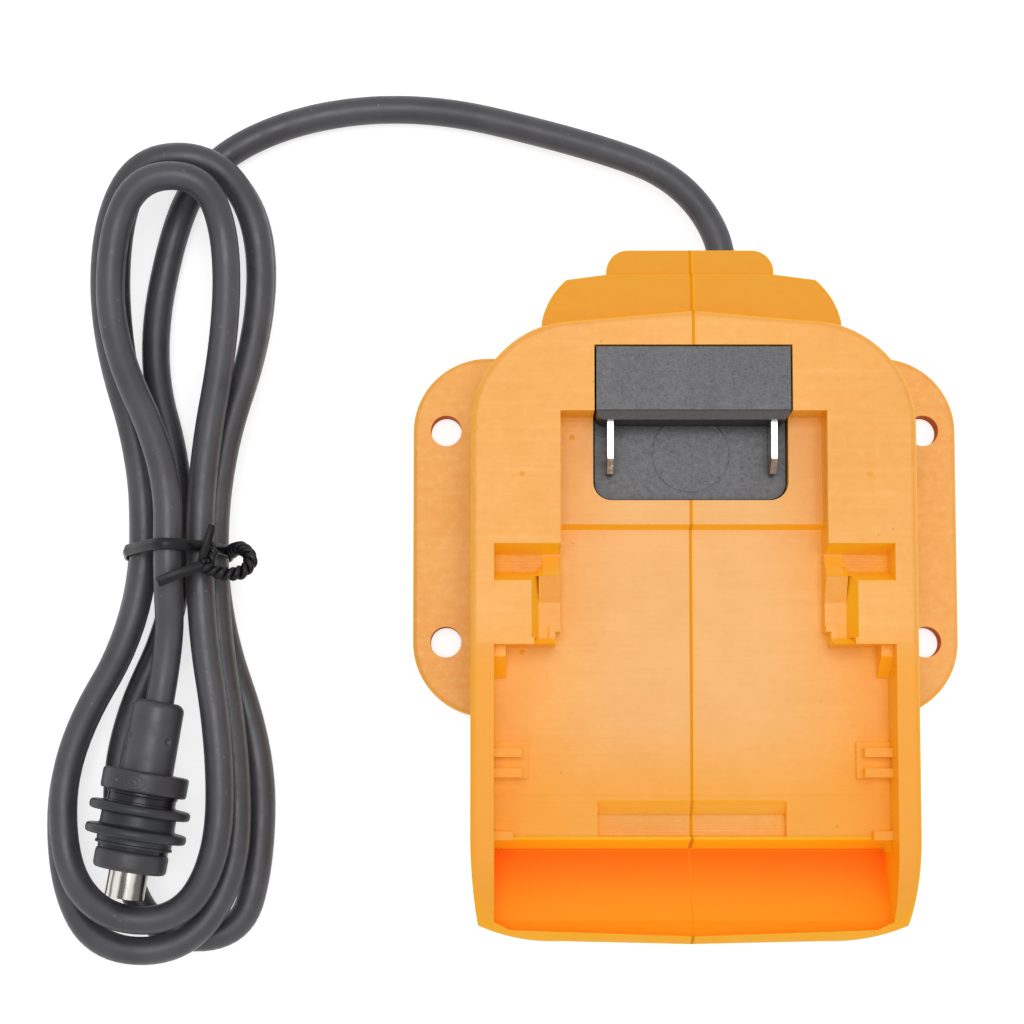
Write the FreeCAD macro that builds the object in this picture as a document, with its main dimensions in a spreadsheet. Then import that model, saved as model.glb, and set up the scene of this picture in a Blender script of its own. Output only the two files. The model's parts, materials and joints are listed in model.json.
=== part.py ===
import FreeCAD, Part
import math
import os
import re
import Sketcher

# Battery adapter with a two-core lead. Millimetres.
# The back of the mounting flange lies on z = 0, the origin is the middle of its four holes,
# +X is to the right, +Y is towards the cord exit and +Z is towards the battery.

Vector = FreeCAD.Vector
doc = FreeCAD.newDocument("BatteryAdapterCable")
sheet = doc.addObject("Spreadsheet::Sheet", "Sizes")

SIZES = [
    # mounting flange
    ("flange_half_width", 51.2),
    ("flange_half_length", 34.0),
    ("flange_thickness", 3.5),
    ("flange_corner", 14.0),
    ("flange_edge_round", 0.9),
    ("hole_spacing_across", 90.0),
    ("hole_spacing_along", 40.0),
    ("hole_diameter", 5.8),
    # outer form of the two shells
    ("body_half_width", 40.0),
    ("body_height", 23.0),
    ("body_shoulder_round", 19.3),
    ("body_shoulder_top", 36.8),
    ("body_ridge_top", 38.6),
    ("body_taper_start", 57.0),
    ("body_taper_end", 71.9),
    ("body_taper_inset", 1.25),
    ("body_taper_round", 120.0),
    ("lip_corner_inset", 16.0),
    ("lip_corner_end", 75.0),
    ("lip_corner_round", 30.0),
    ("lip_end", 75.6),
    ("ramp_start", 57.3),
    ("ramp_round", 21.0),
    ("body_edge_round", 1.2),
    ("wall", 2.2),
    # two-tier hood over the cord
    ("hood_wide_half", 27.2),
    ("hood_wide_start", 37.0),
    ("hood_wide_top_half", 22.7),
    ("hood_wide_top", 45.0),
    ("hood_wide_round", 14.0),
    ("hood_narrow_half", 15.3),
    ("hood_narrow_start", 46.0),
    ("hood_narrow_corner", 4.0),
    ("hood_end", 51.1),
    ("hood_high", 20.2),
    ("hood_mid", 19.1),
    ("hood_narrow_high", 18.2),
    ("hood_low", 17.0),
    ("hood_edge_round", 0.8),
    # battery bay
    ("pocket_half_width", 23.9),
    ("pocket_top", 20.2),
    ("mid_floor", 16.2),
    ("deep_floor", 14.5),
    ("floor_step_top", 0.5),
    ("floor_step_bottom", -0.3),
    ("shoulder_end", -21.8),
    ("bay_half_width", 35.8),
    ("floor_front", 56.4),
    ("floor_front_round", 1.0),
    ("scoop_start", 58.5),
    ("scoop_floor", 7.9),
    ("scoop_end", 71.3),
    ("scoop_end_floor", 14.0),
    ("scoop_corner_inset", 2.8),
    ("scoop_corner_end", 72.8),
    ("lip_thickness", 1.6),
    ("lip_floor", 14.0),
    # latch slot in the floor
    ("latch_half_width", 17.1),
    ("latch_top", 49.6),
    ("latch_ramp", 2.8),
    ("latch_bottom", 56.1),
    ("latch_floor", 12.1),
    # guides in the shoulders and on the bay walls
    ("recess_top", 3.75),
    ("recess_bottom", 10.45),
    ("recess_floor", 17.0),
    ("recess_floor_top", 5.1),
    ("recess_floor_bottom", 8.2),
    ("ledge_outer", 29.1),
    ("ledge_foot", 27.8),
    ("ledge_floor", 17.8),
    ("ledge_bottom", 20.6),
    ("ledge_ramp_end", 14.0),
    ("gable_place", 9.4),
    ("gable_top", 20.0),
    ("gable_reach", 3.2),
    ("ledge_sill", 1.4),
    ("ledge_sill_reach", 2.0),
    ("ledge_sill_place", 18.2),
    ("step_in", 24.8),
    ("step_in_start", 19.3),
    ("rib_width", 1.6),
    ("upper_rib_reach", 2.1),
    ("upper_rib_bottom", 27.4),
    ("upper_rib_height", 5.0),
    ("upper_rib_slope", 23.8),
    ("tab_reach", 6.1),
    ("tab_top", 39.1),
    ("tab_bottom", 45.6),
    ("tab_height", 1.2),
    ("tab_rib_reach", 5.0),
    ("tab_rib_height", 3.6),
    ("tab_rib_inset", 1.1),
    ("front_rib_reach", 3.4),
    ("front_rib_top", 55.1),
    ("front_rib_height", 3.0),
    ("rail_groove_depth", 1.6),
    ("rail_groove_bottom", 17.6),
    ("rail_groove_top", 20.4),
    # terminal block and blades
    ("block_half_width", 17.45),
    ("block_top", 31.8),
    ("block_head_bottom", 18.8),
    ("block_bevel", 1.5),
    ("block_bottom", 5.3),
    ("block_corner", 3.0),
    ("block_head_corner", 1.6),
    ("block_plate", 14.6),
    ("block_base", 11.2),
    ("block_flange_reach", 1.9),
    ("block_gap", 0.35),
    ("blade_place", 14.8),
    ("blade_thickness", 1.1),
    ("blade_bottom", 15.0),
    ("blade_height", 5.0),
    ("blade_tip", 9.6),
    ("blade_bevel_run", 2.3),
    ("blade_bevel_drop", 2.5),
    ("blade_tail", 29.0),
    ("blade_tab_length", 3.0),
    ("blade_tab_end", 6.2),
    # fasteners
    ("screw_diameter", 3.0),
    ("screw_clearance", 0.2),
    ("screw_head_diameter", 6.0),
    ("screw_head_height", 2.2),
    ("screw_head_seat", 8.0),
    ("screw_reach", 12.0),
    ("screw_first", 14.0),
    ("screw_pitch", 21.3),
    ("screw_height", 7.25),
    ("screw_boss", 3.4),
    ("tunnel_wall", 0.7),
    ("pin_diameter", 3.0),
    ("pin_reach", 5.0),
    ("pin_first", 3.4),
    ("pin_pitch", 43.0),
    ("pin_boss_half", 3.2),
    ("pin_boss_top", 10.6),
    # cord and its way in
    ("cord_diameter", 5.2),
    ("cord_place", 7.4),
    ("cord_height", 8.0),
    ("cord_mouth", 8.0),
    ("bulkhead_start", 38.9),
    ("bulkhead_thickness", 2.2),
    ("grommet_diameter", 7.8),
    ("grommet_lip_diameter", 10.0),
    ("grommet_lip_inner", 1.0),
    ("grommet_lip_outer", 1.2),
    ("tail_end", 31.0),
    ("clamp_place", 36.2),
    ("clamp_half_length", 1.6),
    ("clamp_half_height", 5.4),
    ("clamp_thickness", 3.6),
    ("clamp_gap", 0.2),
    ("clamp_screw_spacing", 8.0),
    ("clamp_screw_diameter", 1.8),
    ("clamp_screw_head", 3.4),
    ("clamp_screw_reach", 8.0),
    ("core_diameter", 2.2),
    ("core_spacing", 2.6),
    ("core_bend", 1.9),
    # plug, measured along its axis from the top of the boot
    ("plug_place_x", -96.5),
    ("plug_place_y", -31.7),
    ("plug_height", 15.0),
    ("plug_lean", 9.6),
    ("boot_radius", 4.6),
    ("boot_length", 13.0),
    ("boot_edge", 0.7),
    ("collar_radius", 7.75),
    ("collar_length", 3.8),
    ("collar_edge", 0.5),
    ("neck_radius", 6.35),
    ("fin_radius", 9.1),
    ("fin_thickness", 1.7),
    ("rear_fin_start", 19.0),
    ("fin_pitch", 4.3),
    ("sleeve_radius", 6.75),
    ("nose_start", 27.2),
    ("nose_radius", 6.6),
    ("nose_length", 3.8),
    ("nose_round", 1.2),
    ("barrel_radius", 3.55),
    ("barrel_wall", 0.7),
    ("barrel_end", 36.0),
    ("barrel_root", 24.0),
    ("insulator_end", 31.6),
    ("contact_radius", 0.6),
    ("contact_end", 35.2),
    # wire tie round the waist of the hank
    ("tie_diameter", 2.0),
    ("tie_place", -4.4),
    ("tie_slack", 0.25),
]

for row, (name, value) in enumerate(SIZES, 1):
    sheet.set("A%d" % row, name)
    sheet.set("B%d" % row, str(value))
    sheet.setAlias("B%d" % row, name)
doc.recompute()
ALIASES = {name for name, value in SIZES}


def bound(text):
    """Turn the plain names in an expression into references to the sheet."""
    text = str(text)
    return re.sub(r"[a-z][a-z_]+", lambda word: "Sizes." + word.group() if word.group() in ALIASES
                  else word.group(), text)


def size(text):
    """The present value of an expression, in millimetres or degrees."""
    return float(sheet.evalExpression(bound(text)))


def tie_to(thing, **targets):
    """Bind properties of an object to expressions. A double underscore stands for a dot."""
    for target, text in targets.items():
        thing.setExpression(target.replace("__", "."), bound(text))


def new_body(label):
    body = doc.addObject("PartDesign::Body", label)
    body.Label = label
    return body


PLANES = {"XY": "XY_Plane", "YZ": "YZ_Plane", "XZ": "XZ_Plane"}


def on_plane(body, sketch, plane, lift):
    role = PLANES[plane]
    origin_plane = [item for item in body.Origin.OriginFeatures if item.Role == role][0]
    sketch.AttachmentSupport = [(origin_plane, "")]
    sketch.MapMode = "FlatFace"
    tie_to(sketch, AttachmentOffset__Base__z=lift)


def outline(body, label, plane, corners, lift="0"):
    """A closed sketch. A corner is (x, y), or (x, y, radius) where an arc leads to the next one.

    A positive radius turns to the left of the way round, a negative one to the right.
    """
    sketch = body.newObject("Sketcher::SketchObject", label)
    on_plane(body, sketch, plane, lift)
    places = [Vector(size(corner[0]), size(corner[1]), 0) for corner in corners]
    ends = []
    for index, corner in enumerate(corners):
        start = places[index]
        end = places[(index + 1) % len(corners)]
        if len(corner) == 2:
            number = sketch.addGeometry(Part.LineSegment(start, end), False)
            ends.append((number, 1, 2))
            continue
        radius = size(corner[2])
        chord = end - start
        height = math.sqrt(max(radius ** 2 - chord.Length ** 2 / 4, 0))
        left = Vector(-chord.y, chord.x, 0).normalize()
        centre = (start + end) * 0.5 + left * math.copysign(height, radius)
        first, last = (start, end) if radius > 0 else (end, start)
        turn_first = math.atan2(first.y - centre.y, first.x - centre.x)
        turn_last = math.atan2(last.y - centre.y, last.x - centre.x)
        if turn_last < turn_first:
            turn_last += 2 * math.pi
        circle = Part.Circle(centre, Vector(0, 0, 1), abs(radius))
        number = sketch.addGeometry(Part.ArcOfCircle(circle, turn_first, turn_last), False)
        ends.append((number, 1, 2) if radius > 0 else (number, 2, 1))
    for index, (number, start_point, end_point) in enumerate(ends):
        following, next_start, next_end = ends[(index + 1) % len(ends)]
        sketch.addConstraint(Sketcher.Constraint("Coincident", number, end_point, following, next_start))
        for kind, text in (("DistanceX", corners[index][0]), ("DistanceY", corners[index][1])):
            place = Sketcher.Constraint(kind, -1, 1, number, start_point, size(text))
            sketch.setExpression("Constraints[%d]" % sketch.addConstraint(place), bound(text))
        if len(corners[index]) == 3:
            text = "abs(%s)" % corners[index][2]
            bend = Sketcher.Constraint("Radius", number, size(text))
            sketch.setExpression("Constraints[%d]" % sketch.addConstraint(bend), bound(text))
    return sketch


def extrude(body, kind, sketch, length, reverse=False, middle=False):
    feature = body.newObject("PartDesign::" + kind, sketch.Name + kind)
    feature.Profile = sketch
    feature.Reversed = reverse
    feature.Midplane = middle
    tie_to(feature, Length=length)
    body.Tip = feature
    return feature


def block(body, kind, label, low, span):
    """An added or cut box from its lowest corner and its three lengths."""
    box = body.newObject("PartDesign::%sBox" % kind, label)
    tie_to(box, Length=span[0], Width=span[1], Height=span[2])
    tie_to(box, Placement__Base__x=low[0], Placement__Base__y=low[1], Placement__Base__z=low[2])
    body.Tip = box
    return box


TURNS = {"X": (Vector(0, 1, 0), 90), "Y": (Vector(1, 0, 0), -90), "Z": (Vector(0, 0, 1), 0)}


def rod(body, kind, label, axis, low, radius, length):
    """An added or cut cylinder that runs from low along +X, +Y or +Z."""
    cylinder = body.newObject("PartDesign::%sCylinder" % kind, label)
    cylinder.Placement = FreeCAD.Placement(Vector(), FreeCAD.Rotation(*TURNS[axis]))
    tie_to(cylinder, Radius=radius, Height=length)
    tie_to(cylinder, Placement__Base__x=low[0], Placement__Base__y=low[1], Placement__Base__z=low[2])
    body.Tip = cylinder
    return cylinder


def dress(body, kind, label, names, amount):
    """A fillet or chamfer of named edges of the body's last feature."""
    base = body.Tip
    feature = body.newObject("PartDesign::" + kind, label)
    feature.Base = (base, names)
    tie_to(feature, **{"Radius" if kind == "Fillet" else "Size": amount})
    body.Tip = feature
    return feature


def edges_where(shape, wanted):
    """The names of the edges whose middle and ends all pass a test."""
    names = []
    for number, edge in enumerate(shape.Edges, 1):
        first, last = edge.ParameterRange
        spots = [edge.valueAt(first + (last - first) * share) for share in (0, 0.5, 1)]
        if all(wanted(spot) for spot in spots):
            names.append("Edge%d" % number)
    return names


def near(value, target, slack=0.01):
    return abs(value - target) < slack


def round_top(body, label, wanted, amount, beyond="-body_half_width - 3 * hood_end"):
    """Round the outer edges that pass a test, but not those on the split plane or across a face.

    Only edges whose middle lies beyond a place along Y are taken.
    """
    doc.recompute()
    shape = body.Tip.Shape
    names = []
    for name in edges_where(shape, wanted):
        edge = shape.getElement(name)
        ends = [vertex.Point for vertex in edge.Vertexes]
        if all(abs(end.x) < 0.01 for end in ends) or edge.CenterOfMass.y < size(beyond) + 0.1:
            continue
        faces = shape.ancestorsOfType(edge, Part.Face)
        normals = [face.normalAt(*face.Surface.parameter(edge.CenterOfMass)) for face in faces]
        if all(abs(normal.z) > 0.5 for normal in normals):
            continue
        names.append(name)
    return dress(body, "Fillet", body.Name + label, names, amount)


def shell_half(side, label):
    """One moulded half: side -1 is the left shell and +1 the right one."""
    body = new_body(label)
    out = "%d * " % side

    def across(text):
        return "%s(%s)" % (out, text)

    def plan(name, corners, lift="0"):
        """A plan outline, given for the right half and mirrored for the left."""
        placed = []
        for corner in corners:
            bend = () if len(corner) == 2 else ("%d * (%s)" % (side, corner[2]),)
            placed.append((across(corner[0]), corner[1]) + bend)
        return outline(body, label + name, "XY", placed, lift)

    def profile(name, corners, lift="0"):
        return outline(body, label + name, "YZ", corners, across(lift))

    def box(kind, name, low, span):
        x = low[0] if side > 0 else "-(%s) - (%s)" % (low[0], span[0])
        return block(body, kind, label + name, (x, low[1], low[2]), span)

    def bar(kind, name, low, radius, length):
        """A cylinder along X that starts low[0] away from the middle and runs outwards."""
        x = low[0] if side > 0 else "-(%s) - (%s)" % (low[0], length)
        return rod(body, kind, label + name, "X", (x, low[1], low[2]), radius, length)

    def cut_outwards(sketch, length):
        return extrude(body, "Pocket", sketch, length, reverse=side > 0)

    def add_outwards(sketch, length):
        return extrude(body, "Pad", sketch, length, reverse=side < 0)

    shell_form(body, plan, profile, add_outwards)
    bay_form(body, plan, profile, box, cut_outwards)
    guide_form(body, plan, profile, box, add_outwards, cut_outwards, across)
    inside_form(body, plan, box, bar)
    if side > 0:
        cord_way(body, box, label)
    for row, place in (("High", "hole_spacing_along / 2"), ("Low", "-hole_spacing_along / 2")):
        hole_foot = (across("hole_spacing_across / 2"), place, "-wall")
        rod(body, "Subtractive", label + "Hole" + row, "Z", hole_foot, "hole_diameter / 2",
            "flange_thickness + 2 * wall")
    return body


def shell_form(body, plan, profile, add_outwards):
    """The hood, the main block and the flange, before anything is cut from them."""
    wide = plan("HoodWide", [
        ("0", "0"),
        ("hood_wide_half", "0"),
        ("hood_wide_half", "hood_wide_start", "hood_wide_round"),
        ("hood_wide_top_half", "hood_wide_top"),
        ("hood_narrow_half", "hood_narrow_start"),
        ("0", "hood_narrow_start"),
    ])
    extrude(body, "Pad", wide, "hood_high")
    slope = profile("HoodWideSlope", [
        ("body_shoulder_top", "hood_high"),
        ("hood_narrow_start + wall", "hood_mid"),
        ("hood_narrow_start + wall", "hood_high + wall"),
        ("body_shoulder_top", "hood_high + wall"),
    ], "-wall")
    extrude(body, "Pocket", slope, "4 * hood_wide_half", middle=True)
    round_top(body, "HoodWideEdge", lambda spot: spot.z > size("hood_mid") - 0.1, "hood_edge_round", "wall")
    narrow = profile("HoodNarrow", [
        ("0", "0"),
        ("hood_end", "0"),
        ("hood_end", "hood_low"),
        ("hood_narrow_start - wall", "hood_narrow_high"),
        ("0", "hood_narrow_high"),
    ])
    add_outwards(narrow, "hood_narrow_half")
    doc.recompute()
    corner = edges_where(body.Tip.Shape, lambda spot: near(abs(spot.x), size("hood_narrow_half"))
                         and near(spot.y, size("hood_end")))
    dress(body, "Fillet", body.Name + "HoodCorner", corner, "hood_narrow_corner")
    round_top(body, "HoodNarrowEdge", lambda spot: spot.z > size("hood_low") - 0.1
              and spot.y > size("hood_narrow_start") - 0.1, "hood_edge_round", "hood_narrow_start")
    main = plan("Main", [
        ("0", "-lip_end"),
        ("body_half_width - lip_corner_inset", "-lip_corner_end", "lip_corner_round"),
        ("body_half_width - body_taper_inset", "-body_taper_end", "body_taper_round"),
        ("body_half_width", "-body_taper_start"),
        ("body_half_width", "body_shoulder_top - body_shoulder_round", "body_shoulder_round"),
        ("body_half_width - body_shoulder_round", "body_shoulder_top"),
        ("0", "body_ridge_top"),
    ])
    extrude(body, "Pad", main, "body_height")
    ramp = profile("Ramp", [
        ("-ramp_start", "body_height", "ramp_round"),
        ("-lip_end - 0.6", "body_height - ramp_round + sqrt(ramp_round^2 - (lip_end + 0.6 - ramp_start)^2)"),
        ("-lip_end - 0.6", "body_height + wall"),
        ("-ramp_start", "body_height + wall"),
    ], "-wall")
    extrude(body, "Pocket", ramp, "4 * body_half_width", middle=True)

    def on_top(spot):
        drop = math.hypot(spot.y + size("ramp_start"), spot.z - size("body_height - ramp_round"))
        return (near(spot.z, size("body_height"))
                or spot.y < -size("ramp_start") and near(drop, size("ramp_round"), 0.02))

    round_top(body, "TopEdge", on_top, "body_edge_round")
    flange = plan("Flange", [
        ("0", "-flange_half_length"),
        ("flange_half_width - flange_corner", "-flange_half_length", "flange_corner"),
        ("flange_half_width", "flange_corner - flange_half_length"),
        ("flange_half_width", "flange_half_length - flange_corner", "flange_corner"),
        ("flange_half_width - flange_corner", "flange_half_length"),
        ("0", "flange_half_length"),
    ])
    extrude(body, "Pad", flange, "flange_thickness")
    corner = size("flange_corner")

    def on_rim(spot):
        beyond_x = max(abs(spot.x) - size("flange_half_width") + corner, 0)
        beyond_y = max(abs(spot.y) - size("flange_half_length") + corner, 0)
        return near(spot.z, size("flange_thickness")) and near(math.hypot(beyond_x, beyond_y), corner, 0.05)

    round_top(body, "FlangeEdge", on_rim, "flange_edge_round")


def bay_form(body, plan, profile, box, cut_outwards):
    """The pocket between the shoulders, the lower bay, the scoop, the lip and the latch slot."""
    pocket = profile("Pocket", [
        ("pocket_top", "mid_floor"),
        ("pocket_top", "body_height + wall"),
        ("shoulder_end - wall", "body_height + wall"),
        ("shoulder_end - wall", "deep_floor"),
        ("floor_step_bottom", "deep_floor"),
        ("floor_step_top", "mid_floor"),
    ])
    cut_outwards(pocket, "pocket_half_width")
    bay = profile("Bay", [
        ("shoulder_end", "deep_floor"),
        ("shoulder_end", "body_height + wall"),
        ("-scoop_end", "body_height + wall"),
        ("-scoop_end", "scoop_end_floor"),
        ("-scoop_start", "scoop_floor"),
        ("-floor_front - 0.4", "deep_floor - floor_front_round", "-floor_front_round * 1.3"),
        ("floor_front_round - floor_front", "deep_floor"),
    ])
    cut_outwards(bay, "bay_half_width")
    toe = plan("Toe", [
        ("0", "-scoop_end"),
        ("0", "lip_thickness - lip_end"),
        ("bay_half_width - scoop_corner_inset", "-scoop_corner_end"),
        ("bay_half_width", "-scoop_end"),
    ], "body_height + wall")
    extrude(body, "Pocket", toe, "body_height + wall - lip_floor")
    slot = profile("Latch", [
        ("-latch_top", "deep_floor + wall"),
        ("-latch_top", "deep_floor"),
        ("-latch_top - latch_ramp", "latch_floor"),
        ("-latch_bottom", "latch_floor"),
        ("-latch_bottom", "deep_floor + wall"),
    ])
    cut_outwards(slot, "latch_half_width")
    opening = plan("Opening", [
        ("0", "block_bottom - block_gap"),
        ("block_half_width - block_corner", "block_bottom - block_gap", "block_corner + block_gap"),
        ("block_half_width + block_gap", "block_bottom + block_corner"),
        ("block_half_width + block_gap", "block_top + block_gap"),
        ("0", "block_top + block_gap"),
    ], "body_height + wall")
    extrude(body, "Pocket", opening, "body_height + wall - block_base")


def guide_form(body, plan, profile, box, add_outwards, cut_outwards, across):
    """The recess and ledge in each shoulder, and the ribs and tab on the bay wall."""
    recess_top = plan("RecessTop", [
        ("pocket_half_width - wall", "-recess_bottom"),
        ("bay_half_width", "-recess_bottom"),
        ("bay_half_width", "-recess_top"),
        ("pocket_half_width - wall", "-recess_top"),
    ], "body_height")
    recess_foot = plan("RecessFoot", [
        ("pocket_half_width - wall", "-recess_floor_bottom"),
        ("bay_half_width - 0.3", "-recess_floor_bottom"),
        ("bay_half_width - 0.3", "-recess_floor_top"),
        ("pocket_half_width - wall", "-recess_floor_top"),
    ], "recess_floor")
    recess = body.newObject("PartDesign::SubtractiveLoft", body.Name + "Recess")
    recess.Profile = recess_top
    recess.Sections = [recess_foot]
    recess.Ruled = True
    body.Tip = recess
    ledge = outline(body, body.Name + "Ledge", "XZ", [
        (across("pocket_half_width - wall"), "ledge_floor"),
        (across("ledge_foot"), "ledge_floor"),
        (across("ledge_outer"), "body_height"),
        (across("ledge_outer"), "body_height + wall"),
        (across("pocket_half_width - wall"), "body_height + wall"),
    ], "recess_bottom - wall / 2")
    extrude(body, "Pocket", ledge, "ledge_bottom - recess_bottom + wall / 2", reverse=True)
    ramp = profile("LedgeRamp", [
        ("wall - gable_place", "recess_floor - 0.2"),
        ("-gable_place", "gable_top"),
        ("-ledge_ramp_end", "ledge_floor"),
        ("-ledge_ramp_end", "recess_floor - 0.2"),
    ], "pocket_half_width")
    add_outwards(ramp, "ledge_foot - pocket_half_width")
    gable = profile("Gable", [
        ("-recess_floor_top - 0.2", "recess_floor - 0.1"),
        ("-gable_place", "gable_top"),
        ("-gable_place - 0.1", "recess_floor - 0.1"),
    ], "pocket_half_width")
    add_outwards(gable, "gable_reach")
    box("Additive", "LedgeSill", ("pocket_half_width", "-ledge_bottom - 0.1", "ledge_floor - 0.1"),
        ("ledge_sill_reach", "ledge_bottom + 0.1 - ledge_sill_place", "ledge_sill + 0.1"))
    rim = profile("LedgeRim", [
        ("0.1 - ledge_bottom", "ledge_floor + ledge_sill"),
        ("0.1 - ledge_bottom", "body_height + wall"),
        ("shoulder_end - 0.1", "body_height + wall"),
        ("shoulder_end - 0.1", "body_height - 0.4"),
    ], "pocket_half_width - 0.1")
    cut_outwards(rim, "ledge_outer - pocket_half_width - 0.4")
    box("Subtractive", "StepIn", ("pocket_half_width - 0.1", "shoulder_end - 0.1", "deep_floor"),
        ("step_in - pocket_half_width + 0.1", "-step_in_start - shoulder_end + 0.1", "body_height"))
    box("Subtractive", "RailGroove", ("pocket_half_width - 0.1", "floor_step_top", "rail_groove_bottom"),
        ("rail_groove_depth + 0.1", "pocket_top - floor_step_top - 0.1",
         "rail_groove_top - rail_groove_bottom"))
    upper_rib = profile("UpperRib", [
        ("shoulder_end + 0.1", "deep_floor - 0.1"),
        ("shoulder_end + 0.1", "deep_floor + upper_rib_height"),
        ("-upper_rib_slope", "deep_floor + upper_rib_height"),
        ("-upper_rib_bottom", "deep_floor + 0.6"),
        ("-upper_rib_bottom", "deep_floor - 0.1"),
    ], "bay_half_width - upper_rib_reach")
    add_outwards(upper_rib, "upper_rib_reach + 0.1")
    box("Additive", "Tab", ("bay_half_width - tab_reach", "-tab_bottom", "deep_floor - 0.1"),
        ("tab_reach + 0.1", "tab_bottom - tab_top", "tab_height + 0.1"))
    for number, top in (("A", "tab_top + tab_rib_inset"), ("B", "tab_bottom - rib_width - 0.15")):
        box("Additive", "TabRib" + number,
            ("bay_half_width - tab_rib_reach", "-(%s) - rib_width" % top, "deep_floor - 0.1"),
            ("tab_rib_reach + 0.1", "rib_width", "tab_rib_height + 0.1"))
    box("Additive", "FrontRib",
        ("bay_half_width - front_rib_reach", "-front_rib_top - rib_width", "deep_floor - wall"),
        ("front_rib_reach + 0.1", "rib_width", "front_rib_height + wall"))


def inside_form(body, plan, box, bar):
    """Hollows behind the skins, ribs under the terminal block, and bosses for screws and pins."""
    low = plan("HollowLow", [
        ("0", "1 - floor_front + wall"),
        ("body_half_width - wall", "1 - floor_front + wall"),
        ("body_half_width - wall", "body_shoulder_top - body_shoulder_round",
         "body_shoulder_round - wall"),
        ("body_half_width - body_shoulder_round", "body_shoulder_top - wall"),
        ("0", "body_shoulder_top - wall"),
    ], "wall")
    extrude(body, "Pocket", low, "deep_floor - 2 * wall", reverse=True)
    high = plan("HollowHigh", [
        ("block_half_width + block_gap + wall", "pocket_top + wall"),
        ("pocket_half_width + rail_groove_depth + wall", "pocket_top + wall"),
        ("pocket_half_width + rail_groove_depth + wall", "floor_step_top"),
        ("body_half_width - wall", "floor_step_top"),
        ("body_half_width - wall", "body_shoulder_top - body_shoulder_round",
         "body_shoulder_round - wall"),
        ("body_half_width - body_shoulder_round", "body_shoulder_top - wall"),
        ("block_half_width + block_gap + wall", "body_shoulder_top - wall"),
    ], "deep_floor - wall - 0.1")
    extrude(body, "Pocket", high, "body_height - deep_floor + 0.1", reverse=True)
    box("Additive", "LatchPan", ("0", "0.5 - latch_bottom", "latch_floor - wall / 2"),
        ("latch_half_width + wall / 2", "latch_bottom - 0.5 - latch_top + wall", "wall / 2"))
    box("Subtractive", "HollowNeck", ("0", "block_top + block_gap + wall", "wall"),
        ("hood_wide_top_half - wall", "bulkhead_start - block_top - block_gap - wall",
         "hood_low - 2 * wall"))
    hood = plan("HollowHood", [
        ("0", "bulkhead_start + bulkhead_thickness"),
        ("hood_wide_top_half - wall", "bulkhead_start + bulkhead_thickness"),
        ("hood_wide_top_half - wall", "hood_wide_top - wall"),
        ("hood_narrow_half - wall", "hood_narrow_start - wall"),
        ("hood_narrow_half - wall", "hood_end - wall - 0.8"),
        ("0", "hood_end - wall"),
    ], "wall")
    extrude(body, "Pocket", hood, "hood_low - 2 * wall", reverse=True)
    for number, place in (("A", "block_bottom + wall"), ("B", "block_head_bottom + 1")):
        box("Additive", "BlockRib" + number, ("wall / 2", place, "wall / 2"),
            ("block_half_width - wall", "wall", "block_base - wall / 2"))
    for number in range(2):
        place = "pin_first - %d * pin_pitch" % number
        box("Additive", "PinBoss%d" % number, ("0", "%s - pin_boss_half" % place, "wall / 2"),
            ("pin_reach + wall", "2 * pin_boss_half", "pin_boss_top - wall / 2"))
        bar("Subtractive", "PinHole%d" % number, ("-0.1", place, "screw_height"),
            "pin_diameter / 2", "pin_reach + 0.1")
    for number in range(4):
        place = "screw_first - %d * screw_pitch" % number
        if "right" in body.Name:
            bar("Additive", "Tunnel%d" % number, ("0", place, "screw_height"),
                "screw_head_diameter / 2 + screw_clearance + tunnel_wall", "body_half_width - wall / 2")
            bar("Subtractive", "Shank%d" % number, ("-0.1", place, "screw_height"),
                "(screw_diameter + screw_clearance) / 2", "screw_head_seat + 0.2")
            bar("Subtractive", "Head%d" % number, ("screw_head_seat", place, "screw_height"),
                "screw_head_diameter / 2 + screw_clearance", "body_half_width")
        else:
            bar("Additive", "Boss%d" % number, ("0", place, "screw_height"), "screw_boss",
                "screw_reach + 2 * wall")
            box("Additive", "BossFoot%d" % number, ("0", "%s - wall / 2" % place, "wall / 2"),
                ("screw_reach + 2 * wall", "wall", "screw_height - wall"))
            bar("Subtractive", "Pilot%d" % number, ("-0.1", place, "screw_height"),
                "screw_diameter / 2", "screw_reach + 0.1")


def cord_way(body, box, label):
    """The grommet seat, the saddle under the clamp and the mouth in the hood, right shell only."""
    box("Additive", "Saddle", ("cord_place + clamp_gap", "clamp_place - clamp_half_length", "wall / 2"),
        ("clamp_screw_reach", "2 * clamp_half_length", "hood_low - 2 * wall"))
    rod(body, "Subtractive", label + "SaddleGroove", "Y",
        ("cord_place", "clamp_place - clamp_half_length - 0.1", "cord_height"),
        "cord_diameter / 2", "2 * clamp_half_length + 0.2")
    for row, sign in (("High", "+"), ("Low", "-")):
        rod(body, "Subtractive", label + "ClampHole" + row, "X",
            ("cord_place", "clamp_place", "cord_height %s clamp_screw_spacing / 2" % sign),
            "clamp_screw_diameter / 2", "clamp_screw_reach - 1")
    rod(body, "Subtractive", label + "GrommetSeat", "Y",
        ("cord_place", "bulkhead_start - 0.5", "cord_height"), "grommet_diameter / 2",
        "bulkhead_thickness + 1")
    rod(body, "Subtractive", label + "Mouth", "Y",
        ("cord_place - 0.4", "hood_end - 2 * wall", "cord_height"), "cord_mouth / 2", "3 * wall")


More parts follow.
